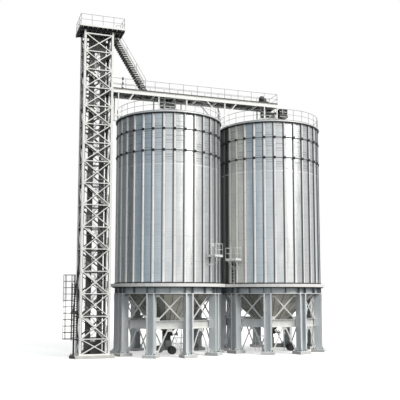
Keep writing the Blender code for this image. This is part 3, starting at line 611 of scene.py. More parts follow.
def laid(start, end, up=(0, 0, 1)):
    """Place for a pattern of unit length along Z, laid from start to end."""
    start, end = Vector(start), Vector(end)
    along = end - start
    if along.normalized().cross(Vector(up)).length < 0.01:
        up = (0, 1, 0)
    side = along.cross(Vector(up)).normalized()
    top = side.cross(along).normalized()
    turn = Matrix((side, top, along)).transposed().to_4x4()
    return Matrix.Translation(start) @ turn


def bars(places, half, below, above=None, bevel=0.0):
    """Bars laid at places: half their width, and their reach below and above the line."""
    above = below if above is None else above
    return copies(block((-half, -below, 0), (half, above, 1), bevel), places)


for side, silo in SILOS.items():
    assigned(roof_sheet, side + "_roof")
    centre = silo["centre"]
    seams = [laid(centre + out * 4.62 + lift(LIP_TOP), centre + out * 0.46 + lift(ROOF_PEAK))
             for out in map(outward, panel_angles(silo))]
    lip = spun([(4.945, EAVE + 0.004), (4.962, EAVE + 0.004), (4.962, LIP_TOP + 0.012),
                (4.90, LIP_TOP + 0.012), (4.90, LIP_TOP + 0.002), (4.945, LIP_TOP + 0.002)],
               96, centre)
    collar = ring(0.455, 0.50, ROOF_PEAK + 0.06, ROOF_PEAK + 0.115, centre, 48)
    settle(joined([bars(seams, 0.02, 0.012, 0.035, 0.008), lip, collar]), side + "_roof_seams",
           roof_sheet, "roof_sheet")


# A handrail of galvanised tube stands on each roof's lip: posts, a top rail and a
# middle rail, with a kick plate at the foot.
RAIL_RADIUS = 4.82


def tubes(places, radius, sides=8):
    """Straight tubes with closed ends, laid at places."""
    bpy.ops.object.select_all(action="DESELECT")
    bpy.ops.mesh.primitive_cylinder_add(vertices=sides, radius=radius, depth=1,
                                        location=(0, 0, 0.5))
    return copies(smoothed(placed(), 50), places)


def round_rail(radius, height, thickness, centre, segments=96, sides=6):
    """A tube bent into a full circle."""
    section = [(radius + thickness * math.cos(k * math.tau / sides),
                height + thickness * math.sin(k * math.tau / sides)) for k in range(sides)]
    return smoothed(spun(section, segments, centre), 70)


rail_steel = finish("galvanised_tube", (0.24, 0.25, 0.25), (0.42, 0.43, 0.42), 0.4, 0.45, 0.3)
for side, silo in SILOS.items():
    centre = silo["centre"]
    foot = LIP_TOP + 0.0006
    rails = [round_rail(RAIL_RADIUS, foot + 1.077, 0.021, centre),
             round_rail(RAIL_RADIUS, foot + 0.58, 0.016, centre),
             ring(RAIL_RADIUS - 0.004, RAIL_RADIUS + 0.002, foot, foot + 0.10, centre)]
    feet = [centre + outward(angle) * (RAIL_RADIUS + 0.016) + lift(foot)
            for angle in panel_angles(silo)]
    rails.append(tubes([laid(spot, spot + lift(1.075)) for spot in feet], 0.018))
    settle(joined(rails), side + "_roof_handrail", rail_steel, "light_steel", side + "_roof_rail")


# Dark strips under the eave above the sheets and at the wall's foot on the walkway are painted
# shade, standing in the shade of the parts above them.
painted_shade_strip = finish("painted_shade_strip", (0.02, 0.02, 0.02), (0.045, 0.045, 0.045), 0.0, 0.7)
for side, silo in SILOS.items():
    eave = spun([(4.79, 21.10), (4.90, 21.10), (4.925, 21.199), (4.79, 21.199)], 96, silo["centre"])
    foot = spun([(4.862, 6.2915), (4.92, 6.2915), (4.90, 6.40), (4.862, 6.40)], 96, silo["centre"])
    settle(joined([eave, foot]), side + "_closure_strips", painted_shade_strip, "machine_dark")


# The walkway is a ring of planks behind a deep white edge plate. Battens cover the
# joints between the planks, and stop where the two silos' walkways meet.
walk_paint = finish("walkway_edge", (0.88, 0.88, 0.87), (0.97, 0.97, 0.96), 0.05, 0.5, 0.8)
WALKWAY_TOP, WALKWAY_R, WALKWAYS_MEET = 6.2903, 5.24, 5.10
for side, silo in SILOS.items():
    assigned(walk_paint, side + "_walkway")
    inward = 1 if side == "left" else -1
    angles = [k * math.tau / 48 for k in range(48)]
    open_side = [turned(a, silo["x"]) for a in angles
                 if math.cos(a) * inward * WALKWAY_R < WALKWAYS_MEET]
    batten = block((4.905, -0.012, WALKWAY_TOP + 0.0004), (WALKWAY_R, 0.012, WALKWAY_TOP + 0.010),
                   0.003)
    settle(copies(batten, open_side), side + "_walkway_battens", walk_paint, "light_steel")


# The ring girder is a rolled channel. Plates stiffen its web, in pairs over each column and one in
# each bay, coloured near black as painted shade. A light lip runs round its lower edge, and dark
# strips of painted shade run under the walkway's edge and under the girder.
frame_paint = finish("blue_grey_steel", (0.62, 0.67, 0.70), (0.86, 0.88, 0.89), 0.12, 0.40,
                     0.9, (0.24, 0.30, (0.80, 0.79, 0.75)))
girder_plate_painted_shade = finish("girder_plate", (0.13, 0.15, 0.17), (0.26, 0.29, 0.32), 0.3, 0.45, 0.4)
girder_paint = finish("girder_web", (0.54, 0.58, 0.60), (0.74, 0.77, 0.78), 0.2, 0.42, 0.7)
LEGS = 9
LEG = math.tau / LEGS
GIRDER_LOW, GIRDER_HIGH = 5.40, 6.02


def leg_angles(silo):
    return [silo["legs"] + i * LEG for i in range(LEGS)]


for side, silo in SILOS.items():
    assigned(girder_paint, side + "_ring_girder")
    web = block((4.636, -0.014, GIRDER_LOW + 0.036), (4.905, 0.014, GIRDER_HIGH - 0.036), 0.004)
    spots = [turned(angle + math.radians(offset), silo["x"])
             for angle in leg_angles(silo) for offset in (-4.25, 4.25, 20.0)]
    settle(copies(web, spots), side + "_girder_plates", girder_plate_painted_shade, "frame_steel")
    lip = ring(4.905, 4.930, GIRDER_LOW - 0.004, GIRDER_LOW + 0.048, silo["centre"], 72)
    settle(lip, side + "_girder_lip", walk_paint, "light_steel")
    # Dark rings of painted shade under the walkway's edge and under the girder.
    drip = ring(5.035, 5.060, GIRDER_HIGH - 0.085, GIRDER_HIGH - 0.001, silo["centre"], 72)
    skirt = ring(4.602, 4.632, GIRDER_LOW - 0.055, GIRDER_LOW + 0.001, silo["centre"], 72)
    settle(joined([drip, skirt]), side + "_drip_strips", painted_shade_strip, "machine_dark")


# The discharge cone is welded from gores of dark steel plate. Pressed ribs cover the
# seams, and a rolled band stiffens it above the outlet.
hopper_plate = finish("hopper_plate", (0.20, 0.195, 0.17), (0.44, 0.43, 0.38), 0.90, 0.26, 1.3)
seam_steel = finish("hopper_seam", (0.05, 0.05, 0.045), (0.13, 0.125, 0.11), 0.6, 0.4, 0.5)
SKIRT_Z, OUTLET_Z, OUTLET_R, HOPPER_R = 5.64, 1.90, 0.36, 4.55
BAND_Z = 2.45
for side, silo in SILOS.items():
    assigned(hopper_plate, side + "_hopper")
    centre = silo["centre"]
    seams = [laid(centre + out * (OUTLET_R + 0.03) + lift(OUTLET_Z + 0.02),
                  centre + out * (HOPPER_R + 0.005) + lift(SKIRT_Z), -out)
             for out in map(outward, panel_angles(silo))]
    slope = (HOPPER_R - OUTLET_R) / (SKIRT_Z - OUTLET_Z)
    r = OUTLET_R + (BAND_Z - OUTLET_Z) * slope
    band = spun([(r - 0.02, BAND_Z), (r + 0.035, BAND_Z), (r + 0.035 + 0.06 * slope, BAND_Z + 0.06),
                 (r - 0.02 + 0.06 * slope, BAND_Z + 0.06)], 64, centre)
    settle(joined([bars(seams, 0.022, 0.004, 0.020, 0.003), band]), side + "_hopper_ribs",
           seam_steel, "hopper_steel")


# Each column is a welded H section on a base plate, with anchor bolts set in its
# plinth. Gussets stand on the base plate, and end plates take the ring beam.
bolt_steel = finish("bolt_steel", (0.03, 0.03, 0.03), (0.09, 0.09, 0.09), 0.6, 0.5, 0.1)
edge_highlight_paint = finish("column_edge", (0.78, 0.80, 0.81), (0.93, 0.94, 0.94), 0.10, 0.42, 0.9,
                    (0.34, 0.60, (0.50, 0.50, 0.48)))
LEG_R = 4.60
PLATE_TOP = 0.30


def nut(radius, height):
    """A six-sided nut with a stub of thread standing out of it, at the origin."""
    bpy.ops.object.select_all(action="DESELECT")
    bpy.ops.mesh.primitive_cylinder_add(vertices=6, radius=radius, depth=height,
                                        location=(0, 0, height / 2))
    piece = placed()
    edit(piece, "DESELECT", "FACE")
    close_edit()
    for face in piece.data.polygons:
        face.select = face.normal.z > 0.9
    bpy.ops.object.mode_set(mode="EDIT")
    bpy.ops.mesh.inset(thickness=radius * 0.45)
    bpy.ops.mesh.extrude_region_move(TRANSFORM_OT_translate={"value": (0, 0, height * 0.6)})
    close_edit()
    return piece


def moved(x, y, z):
    return Matrix.Translation((x, y, z))


for side, silo in SILOS.items():
    assigned(frame_paint, *[f"{side}_leg_{i + 1}" for i in range(LEGS)])
    feet = [turned(angle, silo["x"]) @ moved(LEG_R, 0, 0) for angle in leg_angles(silo)]
    bolts = [(x, y) for x in (-0.40, 0.40) for y in (-0.38, -0.13, 0.13, 0.38)]
    bolts += [(x, y) for y in (-0.40, 0.40) for x in (-0.20, 0.20)]
    nuts = [foot @ moved(x, y, PLATE_TOP) for foot in feet for x, y in bolts]
    wedge = block((0.0, -0.008, PLATE_TOP), (0.11, 0.008, PLATE_TOP + 0.26))
    edit(wedge, "DESELECT")
    close_edit()
    for vert in wedge.data.vertices:
        vert.select = vert.co.z > PLATE_TOP + 0.1 and vert.co.x > 0.05
    bpy.ops.object.mode_set(mode="EDIT")
    bpy.ops.transform.translate(value=(-0.09, 0, 0))
    close_edit()
    wedges = copies(wedge, [foot @ moved(out * 0.33, y, 0) @ Matrix.Scale(out, 4, (1, 0, 0))
                            for foot in feet for out in (-1, 1) for y in (-0.25, 0.25)])
    clean(wedges)
    ends = copies(block((-0.17, -0.012, 2.36), (0.17, 0.012, 3.17), 0.004),
                  [foot @ moved(-0.16, y, 0) for foot in feet for y in (-0.365, 0.365)])
    settle(joined([wedges, ends]), side + "_column_plates", frame_paint, "frame_steel")
    settle(copies(nut(0.036, 0.05), nuts), side + "_anchor_nuts", bolt_steel, "machine_dark")
    # Strips in a lighter copy of the column paint run up the flange edges: a painted highlight.
    edges = copies(block((0.318, 0.235, PLATE_TOP + 0.004), (0.338, 0.355, 5.396), 0.005),
                   [foot @ Matrix.Scale(out, 4, (0, 1, 0)) for foot in feet for out in (-1, 1)])
    clean(edges)
    settle(edges, side + "_column_edges", edge_highlight_paint, "frame_steel")


# The ring beam and braces are light rolled sections. Bolted gusset plates join the
# braces to the columns and to each other at their crossings.
light_paint = finish("light_steel", (0.74, 0.74, 0.72), (0.92, 0.92, 0.90), 0.35, 0.42, 0.6)
BEAM_R = 4.425
for side, silo in SILOS.items():
    assigned(light_paint, side + "_bracing")
    plates, small = [], []
    for angle in leg_angles(silo):
        first, last = outward(angle) * BEAM_R, outward(angle + LEG) * BEAM_R
        along = (last - first).normalized()
        out = along.cross(lift(1))
        if out.dot(first) < 0:
            out = -out
        basis = Matrix((along, out, lift(1))).transposed().to_4x4()
        middle = (first + last) / 2 + silo["centre"] + out * 0.04
        half = (last - first).length / 2
        for x, z, wide in ((half - 0.50, 5.26, 0.16), (0, 4.22, 0.13), (half - 0.50, 3.24, 0.15),
                           (0, 2.33, 0.22), (half - 0.47, 0.46, 0.14)):
            for mirror in (-1, 1) if x else (1,):
                spot = Matrix.Translation(middle + along * (x * mirror) + lift(z)) @ basis
                plates.append(spot @ Matrix.Diagonal((wide, 1, 0.14, 1)))
                small += [spot @ moved(dx * wide, 0.042, 0) @ Matrix.Rotation(-math.pi / 2, 4, "X")
                          for dx in (-0.5, 0.5)]
    plate = block((-1, 0.030, -1), (1, 0.042, 1))
    settle(copies(plate, plates), side + "_brace_gussets", light_paint, "light_steel")
    settle(copies(nut(0.022, 0.02), small), side + "_brace_bolts", bolt_steel, "machine_dark")


# Under each cone a bolted flange carries the slide gate: a flat housing with stiffening
# bars, a blade in its guide, and a hand wheel on a spindle that drives it.
machine_paint = finish("machine_paint", (0.02, 0.02, 0.022), (0.07, 0.07, 0.075), 0.3, 0.45, 0.3)
WHEEL_X, WHEEL_Z = 0.90, 1.72


def tipped(x, y, z, axis="X", angle=math.pi / 2):
    """A quarter turn about an axis at the origin, and then a move."""
    return moved(x, y, z) @ Matrix.Rotation(angle, 4, axis)


for side, silo in SILOS.items():
    assigned(machine_paint, side + "_discharge_gate")
    x0 = silo["x"]
    pieces = [block((x0 - 0.32 + k * 0.15, y - 0.02, 1.60), (x0 - 0.30 + k * 0.15, y + 0.02, 1.85),
                    0.004) for y in (-0.40, 0.40) for k in range(5)]
    hub = Vector((x0 + WHEEL_X, 0, WHEEL_Z))
    wheel = ring(0.17, 0.20, -0.02, 0.02, segments=24)
    wheel.data.transform(tipped(*hub, "Y"))
    spokes = [laid(hub, (hub.x, 0.185 * math.cos(k * math.tau / 5),
                         WHEEL_Z + 0.185 * math.sin(k * math.tau / 5))) for k in range(5)]
    spindle = [laid((x0 + 0.80, 0, WHEEL_Z), (x0 + 0.95, 0, WHEEL_Z))]
    settle(joined(pieces + [wheel, tubes(spokes, 0.012), tubes(spindle, 0.022)]),
           side + "_gate_fittings", machine_paint, "machine_dark")
    heads = [Matrix.Translation(silo["centre"] + outward(k * math.tau / 24) * 0.415 + lift(1.8985))
             for k in range(24)]
    settle(copies(nut(0.02, 0.02), heads), side + "_gate_bolts", bolt_steel, "machine_dark")


# Screw conveyors stand under the gates: a closed trough with bolted covers, a round
# motor at its end, and a light frame round it that keeps people off. A cable drum and
# a control stand are beside each.
screw_casing = finish("screw_casing", (0.16, 0.165, 0.165), (0.34, 0.35, 0.35), 0.3, 0.45, 0.5)


def spaced(first, step, count):
    return [first + step * k for k in range(count)]


def level(start, end, *heights):
    """Places of level bars from one (x, y) spot to another, one at each height."""
    return [laid((*start, z), (*end, z)) for z in heights]


def upright(low, high, *spots):
    """Places of upright bars, one at each (x, y) spot."""
    return [laid((x, y, low), (x, y, high)) for x, y in spots]


def set_at(piece, place):
    piece.data.transform(place)
    clean(piece)
    return piece


def finned(inner, outer, heights, thickness, cowl, place):
    """A motor: round cooling fins one behind the other, and a cowl at their end."""
    fins = [ring(inner, outer, z, z + thickness, segments=24) for z in heights]
    return set_at(joined(fins + [spun(cowl, 24)]), place)


for side, silo in SILOS.items():
    assigned(screw_casing, side + "_discharge_conveyor")
    low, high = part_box(side + "_discharge_conveyor")
    inlet = silo["x"]
    way_out = 1 if side == "right" else -1
    motor_x = (high[0] if way_out > 0 else low[0]) - way_out * 0.35
    cowl = [(0.05, -0.385), (0.25, -0.385), (0.30, -0.36), (0.30, -0.33), (0.05, -0.33)]
    parts = [finned(0.285, 0.312, spaced(-0.27, 0.045, 12), 0.012, cowl,
                    tipped(motor_x, -0.05, 0.42))]
    parts += [block((x - 0.02, -0.245, 0.655), (x + 0.02, 0.245, 0.672), 0.004)
              for x in spaced(inlet - way_out * 0.45, way_out * 0.28, 5)]
    parts.append(block((inlet - 0.30, -0.30, 1.20), (inlet + 0.30, 0.30, 1.2496), 0.008))
    settle(joined(parts), side + "_motor_fins", machine_paint, "machine_dark")
    ends = (inlet - way_out * 0.62, inlet - way_out * 1.42)
    sides, heights, rods = (-0.55, 0.35), (0.35, 0.88, 1.40), []
    for y in sides:
        rods += upright(0, 1.42, *[(x, y) for x in (ends[0], sum(ends) / 2, ends[1])])
        rods += level((min(ends), y), (max(ends), y), *heights)
    for x in ends:
        rods += level((x, sides[0]), (x, sides[1]), *heights)
    settle(tubes(rods, 0.022), side + "_guard_frame", galvanised, "light_steel")
    half = [(0.0, -0.28), (0.30, -0.28), (0.36, -0.22), (0.36, -0.06), (0.32, -0.04)]
    drum = spun(half + [(r, -z) for r, z in reversed(half)], 24)
    set_at(drum, tipped(inlet + (0.10 if side == "left" else 1.62), -1.02, 0.365))
    settle(drum, side + "_cable_drum", bolt_steel, "machine_dark")
    stand = (inlet + 1.02, -0.9)
    pipe = upright(0, 2.40, stand) + [laid((*stand, 2.38), (inlet + 0.30, -0.25, 2.44))]
    box = block((inlet + 0.96, -0.99, 1.55), (inlet + 1.10, -0.93, 1.80), 0.01)
    settle(joined([tubes(pipe, 0.035, 10), box]), side + "_control_stand", galvanised,
           "light_steel")


# Small railed platforms hang on the walls to reach the sampling ports. Each is an open
# grating in an angle frame with tube rails, a kick plate and two raking struts.
grating_steel = finish("grating_steel", (0.30, 0.31, 0.31), (0.48, 0.49, 0.49), 0.6, 0.5, 0.3)
port_paint = finish("port_paint", (0.78, 0.79, 0.78), (0.93, 0.93, 0.92), 0.15, 0.45, 0.3)
port_floor = finish("port_floor", (0.10, 0.10, 0.10), (0.22, 0.22, 0.215), 0.4, 0.5, 0.3)
PLATFORMS = {"left": (3, 8.70), "right": (-6, 8.50)}
INNER, OUTER, HALF = 4.8607, 5.7103, 0.62


def handrail(points, foot, height, spacing, thickness=0.021, drop=0.0):
    """A tube handrail along (x, y) points: posts, top and middle rails and a kick plate."""
    top = foot + height - thickness
    heights = (top, foot + (height - thickness) * 0.53, foot + 0.062)
    posts, runs = [], []
    for start, end in zip(points, points[1:]):
        first, last = Vector(start), Vector(end)
        steps = max(1, round((last - first).length / spacing))
        posts += upright(foot - drop, top, *[first.lerp(last, k / steps) for k in range(steps + 1)])
        runs.append(level(start, end, *heights))
    tops, middles, kicks = map(list, zip(*runs))
    return joined([tubes(posts + tops, thickness), tubes(middles, thickness * 0.8),
                   bars(kicks, 0.003, 0.06)])


def three_sides(low, high):
    """The corners of a rectangle on three sides, open towards -X."""
    return [low, (high[0], low[1]), high, (low[0], high[1])]


def grating(low, high, top, spacing):
    """Flat bars on edge both ways between two (x, y) corners, with their tops at a height."""
    runs = []
    for axis in (0, 1):
        count = max(2, round((high[axis] - low[axis]) / spacing))
        for place in spaced(low[axis], (high[axis] - low[axis]) / count, count + 1):
            start, end = list(low), list(high)
            start[axis] = end[axis] = place
            runs += level(start, end, top - 0.015)
    return bars(runs, 0.004, 0.015)


for side, silo in SILOS.items():
    panel, height = PLATFORMS[side]
    place = turned(silo["panels"] + panel * PANEL, silo["x"])
    corners = three_sides((INNER + 0.06, 0.021 - HALF), (OUTER - 0.021, HALF - 0.021))
    rail = handrail(corners, height, 1.10, 0.62, drop=0.06)
    edges = []
    for y in (0.004 - HALF, HALF - 0.004):
        edges += level((INNER + 0.001, y), (OUTER, y), height - 0.04)
    for x in (OUTER - 0.004, INNER + 0.005):
        edges += level((x, -HALF), (x, HALF), height - 0.04)
    struts = [laid((INNER + 0.04, y * 0.75, height - 0.74), (OUTER - 0.10, y, height - 0.08))
              for y in (-0.45, 0.45)]
    bracket = block((INNER, -0.42, height - 0.80), (INNER + 0.02, 0.42, height - 0.70), 0.004)
    whole = joined([rail, bars(edges, 0.004, 0.04), tubes(struts, 0.028), bracket])
    whole.data.transform(place)
    settle(whole, side + "_port_platform", port_paint, "light_steel", side + "_access_platform")
    floor_bars = grating((INNER + 0.01, 0.01 - HALF), (OUTER - 0.01, HALF - 0.01),
                         height - 0.002, 0.07)
    floor_bars.data.transform(place)
    settle(floor_bars, side + "_port_grating", port_floor, "light_steel")
    hatch = spun([(0.15, 0), (0.17, 0), (0.17, 0.03), (0.12, 0.045), (0.0, 0.05)], 24)
    set_at(hatch, place @ tipped(WALL_CREST - 0.01, 0.45, height + 1.0, "Y"))
    settle(hatch, side + "_port_hatch", galvanised, "stiffener_steel")

# The ladder from the right walkway up to its platform has flat stiles and round rungs.
# The loop ends on the right silo, so its last place is the ladder's place too.
foot, head = WALKWAY_TOP + 0.0003, 8.4197
sides = ((5.02, -0.59), (5.02, -0.17))
climb = joined([bars(upright(foot, head, *sides), 0.03, 0.008, bevel=0.003),
                tubes(level(*sides, *spaced(foot + 0.15, 0.30, 7)), 0.013)])
climb.data.transform(place)
settle(climb, "right_port_ladder", port_paint, "light_steel", "right_access_ladder")
# A dark plate behind the ladder stands as its painted shadow on the wall.
backing = block((4.880, -0.565, foot + 0.02), (4.892, -0.195, head - 0.06), 0.003)
backing.data.transform(place)
settle(backing, "right_ladder_shadow_backing", painted_shade_strip, "machine_dark")


# The elevator tower is a bolted lattice of white painted angles that stands on a low
# slab. Gusset plates tie the bars to the posts and to each other where they cross.
tower_paint = finish("white_lattice_paint", (0.84, 0.84, 0.82), (0.95, 0.95, 0.93), 0.15, 0.42, 0.8)
# The back face is the same white lattice, coloured dark as painted shade.
back_lattice_painted_shade = finish("lattice_painted_shade", (0.12, 0.12, 0.12), (0.34, 0.35, 0.34),
                       0.3, 0.45, 0.8)
concrete = finish("cast_concrete", (0.62, 0.61, 0.58), (0.80, 0.79, 0.76), 0.0, 0.85)
assigned(tower_paint, "tower_front_face", "tower_right_face", "tower_left_face")
assigned(back_lattice_painted_shade, "tower_back_face")
assigned(concrete, "tower_base")
TOWER_LOW, TOWER_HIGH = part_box("tower_front_face")
TOWER_LEFT, TOWER_RIGHT = TOWER_LOW[0], TOWER_HIGH[0]
TOWER_FRONT, TOWER_BACK = -2.70, -0.60
POST = 0.15
LEVELS = spaced(1.61, 1.90, 8) + spaced(16.81, 1.63, 7)
spots, heads = [], []
for y, out in ((TOWER_FRONT, -1), (TOWER_BACK, 1)):
    for z in LEVELS:
        for x in (TOWER_LEFT + 0.16, TOWER_RIGHT - 0.16):
            spots.append(moved(x, y + out * 0.006, z) @ Matrix.Diagonal((0.26, 1, 0.30, 1)))
            heads += [tipped(x + dx, y + out * 0.012, z + dz, "X", -out * math.pi / 2)
                      for dx, dz in ((-0.08, -0.09), (-0.08, 0.09), (0.08, 0.0))]
    for low, high in zip(LEVELS, LEVELS[1:]):
        spots.append(moved((TOWER_LEFT + TOWER_RIGHT) / 2, y + out * 0.006, (low + high) / 2)
                     @ Matrix.Diagonal((0.20, 1, 0.20, 1)))
settle(copies(block((-0.5, -0.006, -0.5), (0.5, 0.006, 0.5)), spots), "tower_gussets",
       tower_paint, "light_steel")
settle(copies(nut(0.018, 0.012), heads), "tower_bolts", clamp_steel, "machine_dark")
# The bars are angles, so a second leg of each stands behind it. Strips for these legs are coloured
# near black as painted shade, and show as a thin dark line along every bar.
# Near-black primer: painted shade on the angle legs, and the dark primer of the service ladder and
# the inlet ties.
primer_and_painted_shade = finish("dark_primer_and_painted_shade", (0.03, 0.03, 0.03), (0.09, 0.09, 0.088), 0.2, 0.6, 0.5)
toes = []
left, right = TOWER_LEFT + 0.12, TOWER_RIGHT - 0.12
for y in (TOWER_FRONT + 0.07, TOWER_BACK - 0.07):
    posts = upright(0.30, 28.14, (TOWER_LEFT + POST + 0.02, y), (TOWER_RIGHT - POST - 0.02, y))
    toes += [post @ tipped(0, 0, 0, "Z") @ Matrix.Diagonal((1, 2.4, 1, 1)) for post in posts]
    for low, high in zip([0.32] + LEVELS, LEVELS + [28.16]):
        toes.append(laid((left, y, low - 0.08), (right, y, high - 0.08)))
        toes.append(laid((right, y + 0.012, low - 0.08), (left, y + 0.012, high - 0.08)))
        toes += level((left, y + 0.024), (right, y + 0.024), high - 0.09)
settle(bars(toes, 0.005, 0.03), "tower_angle_shade_strips", primer_and_painted_shade, "machine_dark")


# The bucket elevator lifts the grain in two casings of folded sheet, bolted together
# at flanges. Its boot stands on the slab with the motor, and its head is under the deck.
# Near black as painted shade: the elevator casings, the bridge conveyor, its toe boards and the
# bridge stair's stringers.
casing_steel_painted_shade = finish("casing_steel_painted_shade", (0.035, 0.035, 0.035), (0.12, 0.12, 0.115), 0.5, 0.38, 0.7)
flange_steel = finish("flange_steel", (0.30, 0.31, 0.31), (0.52, 0.53, 0.52), 0.5, 0.45, 0.4)
assigned(casing_steel_painted_shade, "bucket_elevator")
flanges, ribs, doors = [], [], []
for low, high in ((-10.73, -10.30), (-9.74, -9.34)):
    flanges += [block((low - 0.035, -1.875, z + dz), (high + 0.035, -1.425, z + dz + 0.022))
                for z in spaced(2.30, 1.63, 16) for dz in (0.0, 0.035)]
    ribs += upright(1.40, 26.85, (low + 0.14, -1.845), (high - 0.14, -1.845))
    doors += [block((low + 0.06, -1.862, z), (high - 0.06, -1.83, z + 0.50), 0.008)
              for z in (1.62, 9.9, 18.0)]
settle(joined(flanges), "trunk_flanges", flange_steel, "light_steel")
settle(joined([bars(ribs, 0.012, 0.008)] + doors), "trunk_doors", casing_steel_painted_shade, "trunk_steel")
boot = [block((left, -1.905, low), (right, -1.885, high), 0.006) for left, right, low, high in (
    (-10.74, -10.40, 0.42, 0.80), (-9.70, -9.38, 0.42, 0.80),
    (-10.74, -10.16, 27.2, 27.8), (-9.98, -9.40, 27.2, 27.8))]
boot += [block((-10.35, -2.305, z), (-9.76, -1.90, z + 0.015), 0.004)
         for z in spaced(0.36, 0.08, 7)]
shaft = spun([(0.0, -0.06), (0.10, -0.06), (0.13, -0.03), (0.13, 0.05), (0.05, 0.05), (0.05, 0.12),
              (0.0, 0.12)], 24)
boot.append(set_at(shaft, tipped(-10.53, -1.93, 27.5)))
settle(joined(boot), "elevator_doors", machine_paint, "machine_dark")


# Steep flights zigzag up the tower, in front of the casings and behind them in turn. They have
# plate stringers, folded treads, checkered landings and tube rails; the treads and landings are
# near black as painted shade.
# Near black as painted shade: stair treads, landings, the deck platform and the bridge floors.
tread_steel_painted_shade = finish("tread_steel_painted_shade", (0.035, 0.035, 0.035), (0.10, 0.10, 0.10), 0.4, 0.55, 0.3)
stringer_paint_and_nose_highlight = finish("stringer_paint_and_nose_highlight", (0.72, 0.72, 0.70), (0.88, 0.88, 0.86), 0.2, 0.45, 0.6)
FLIGHT_LEFT, FLIGHT_RIGHT = -10.82, -9.26
LANDING_LEFT, LANDING_RIGHT = -11.29, -8.87
STAIRS_FRONT, STAIRS_BACK, FLIGHT_WIDTH = -2.53, -0.77, 0.55


def stair_rail(start, end, posts, heights, inset):
    """Places of a stair rail's posts and tubes over the stringer from start to end."""
    first, last = start.lerp(end, inset), start.lerp(end, 1 - inset)
    spots = [start.lerp(end, t) for t in posts]
    return ([laid(spot, spot + lift(heights[-1])) for spot in spots]
            + [laid(first + lift(z), last + lift(z)) for z in heights])


floors = [0.2503] + LEVELS
strings, treads, landings, rails = [], [], [], []
for i, (below, above) in enumerate(zip(floors, floors[1:])):
    in_front = i % 2 == 1
    low_y = STAIRS_FRONT if in_front else STAIRS_BACK - FLIGHT_WIDTH
    foot_x, head_x = (FLIGHT_RIGHT, FLIGHT_LEFT) if in_front else (FLIGHT_LEFT, FLIGHT_RIGHT)
    for y in (low_y + 0.008, low_y + FLIGHT_WIDTH - 0.008):
        foot, head = Vector((foot_x, y, below + 0.09)), Vector((head_x, y, above - 0.10))
        strings.append(laid(foot, head))
        rails += stair_rail(foot, head, (0.06, 0.5, 0.94), (0.52, 0.98), 0.02)
    steps = 7 if above - below > 1.7 else 6
    treads += [moved(foot_x + (head_x - foot_x) * (k + 0.5) / steps, low_y + FLIGHT_WIDTH / 2,
                     below + (above - below) * (k + 1) / steps - 0.01)
               @ Matrix.Rotation(math.pi * in_front, 4, "Z") for k in range(steps)]
    low, high, x = ((LANDING_LEFT, FLIGHT_LEFT + 0.01, LANDING_LEFT + 0.02) if in_front else
                    (FLIGHT_RIGHT - 0.01, LANDING_RIGHT, LANDING_RIGHT - 0.02))
    landings.append(block((low, STAIRS_FRONT, above - 0.06), (high, STAIRS_BACK, above - 0.002),
                          0.006))
    rails += level((x, -2.51), (x, -0.79), above + 0.55, above + 1.05)
    rails += upright(above - 0.03, above + 1.05, (x, -2.51), (x, -1.65), (x, -0.79))
settle(bars(strings, 0.006, 0.10, 0.09), "stair_stringers", stringer_paint_and_nose_highlight, "light_steel",
       "tower_stairs")
tread = lifted(drawn([(-0.11, -0.035, 0), (-0.11, 0, 0), (0.11, 0, 0), (0.11, -0.035, 0)]), 0.53)
modified(tread, "SOLIDIFY", thickness=0.006, offset=0)
set_at(tread, tipped(0, 0.265, 0))
settle(joined([copies(tread, treads)] + landings), "stair_treads", tread_steel_painted_shade, "machine_dark")
settle(tubes(rails, 0.017, 6), "stair_handrails", rail_steel, "light_steel")


# The top deck overhangs the tower on joists. Its floor is dark open grating in a white edge
# channel, on a platform coloured near black as painted shade, and a four-panel handrail runs round
# it.
assigned(tread_steel_painted_shade, "tower_platform")
DECK_X, DECK_Y, DECK_Z = (-11.81, -7.85), (-3.08, -0.30), 28.70
STAIR_HEAD, STAIR_FOOT = -8.29, -5.38
STAIR_FRONT, STAIR_BACK = -1.30, -0.42
edge = []
for k in (0, 1):
    edge += level((DECK_X[0], DECK_Y[k]), (DECK_X[1], DECK_Y[k]), DECK_Z)
    edge += level((DECK_X[k], DECK_Y[0]), (DECK_X[k], DECK_Y[1]), DECK_Z)
settle(bars(edge, 0.008, 0.055, 0.12, 0.002), "deck_edge", tower_paint, "light_steel")
joists = []
for x in spaced(DECK_X[0] + 0.25, 0.43, 9):
    back = DECK_Y[1] if x < STAIR_HEAD - 0.05 else -1.32
    joists += level((x, DECK_Y[0] + 0.02), (x, back - 0.02), 28.61)
settle(bars(joists, 0.025, 0.05, 0.03, 0.004), "deck_joists", flange_steel, "light_steel")
planks = [grating((start, DECK_Y[0] + 0.02), end, DECK_Z + 0.028, 0.14) for start, end in (
    (DECK_X[0] + 0.02, (STAIR_HEAD - 0.01, DECK_Y[1] - 0.02)),
    (STAIR_HEAD, (DECK_X[1] - 0.02, STAIR_FRONT - 0.01)))]
settle(joined(planks), "deck_grating", grating_steel, "light_steel")
left, right, front, back = [end + inset for ends in (DECK_X, DECK_Y)
                            for end, inset in zip(ends, (0.06, -0.06))]
landing = STAIR_FRONT - 0.06
loop = [(STAIR_HEAD, landing), (right, landing), (right, front), (left, front), (left, back),
        (right, back)]
settle(handrail(loop, DECK_Z + 0.0003, 1.05, 0.98, 0.018), "deck_handrail", rail_steel,
       "light_steel", "tower_platform_rail")


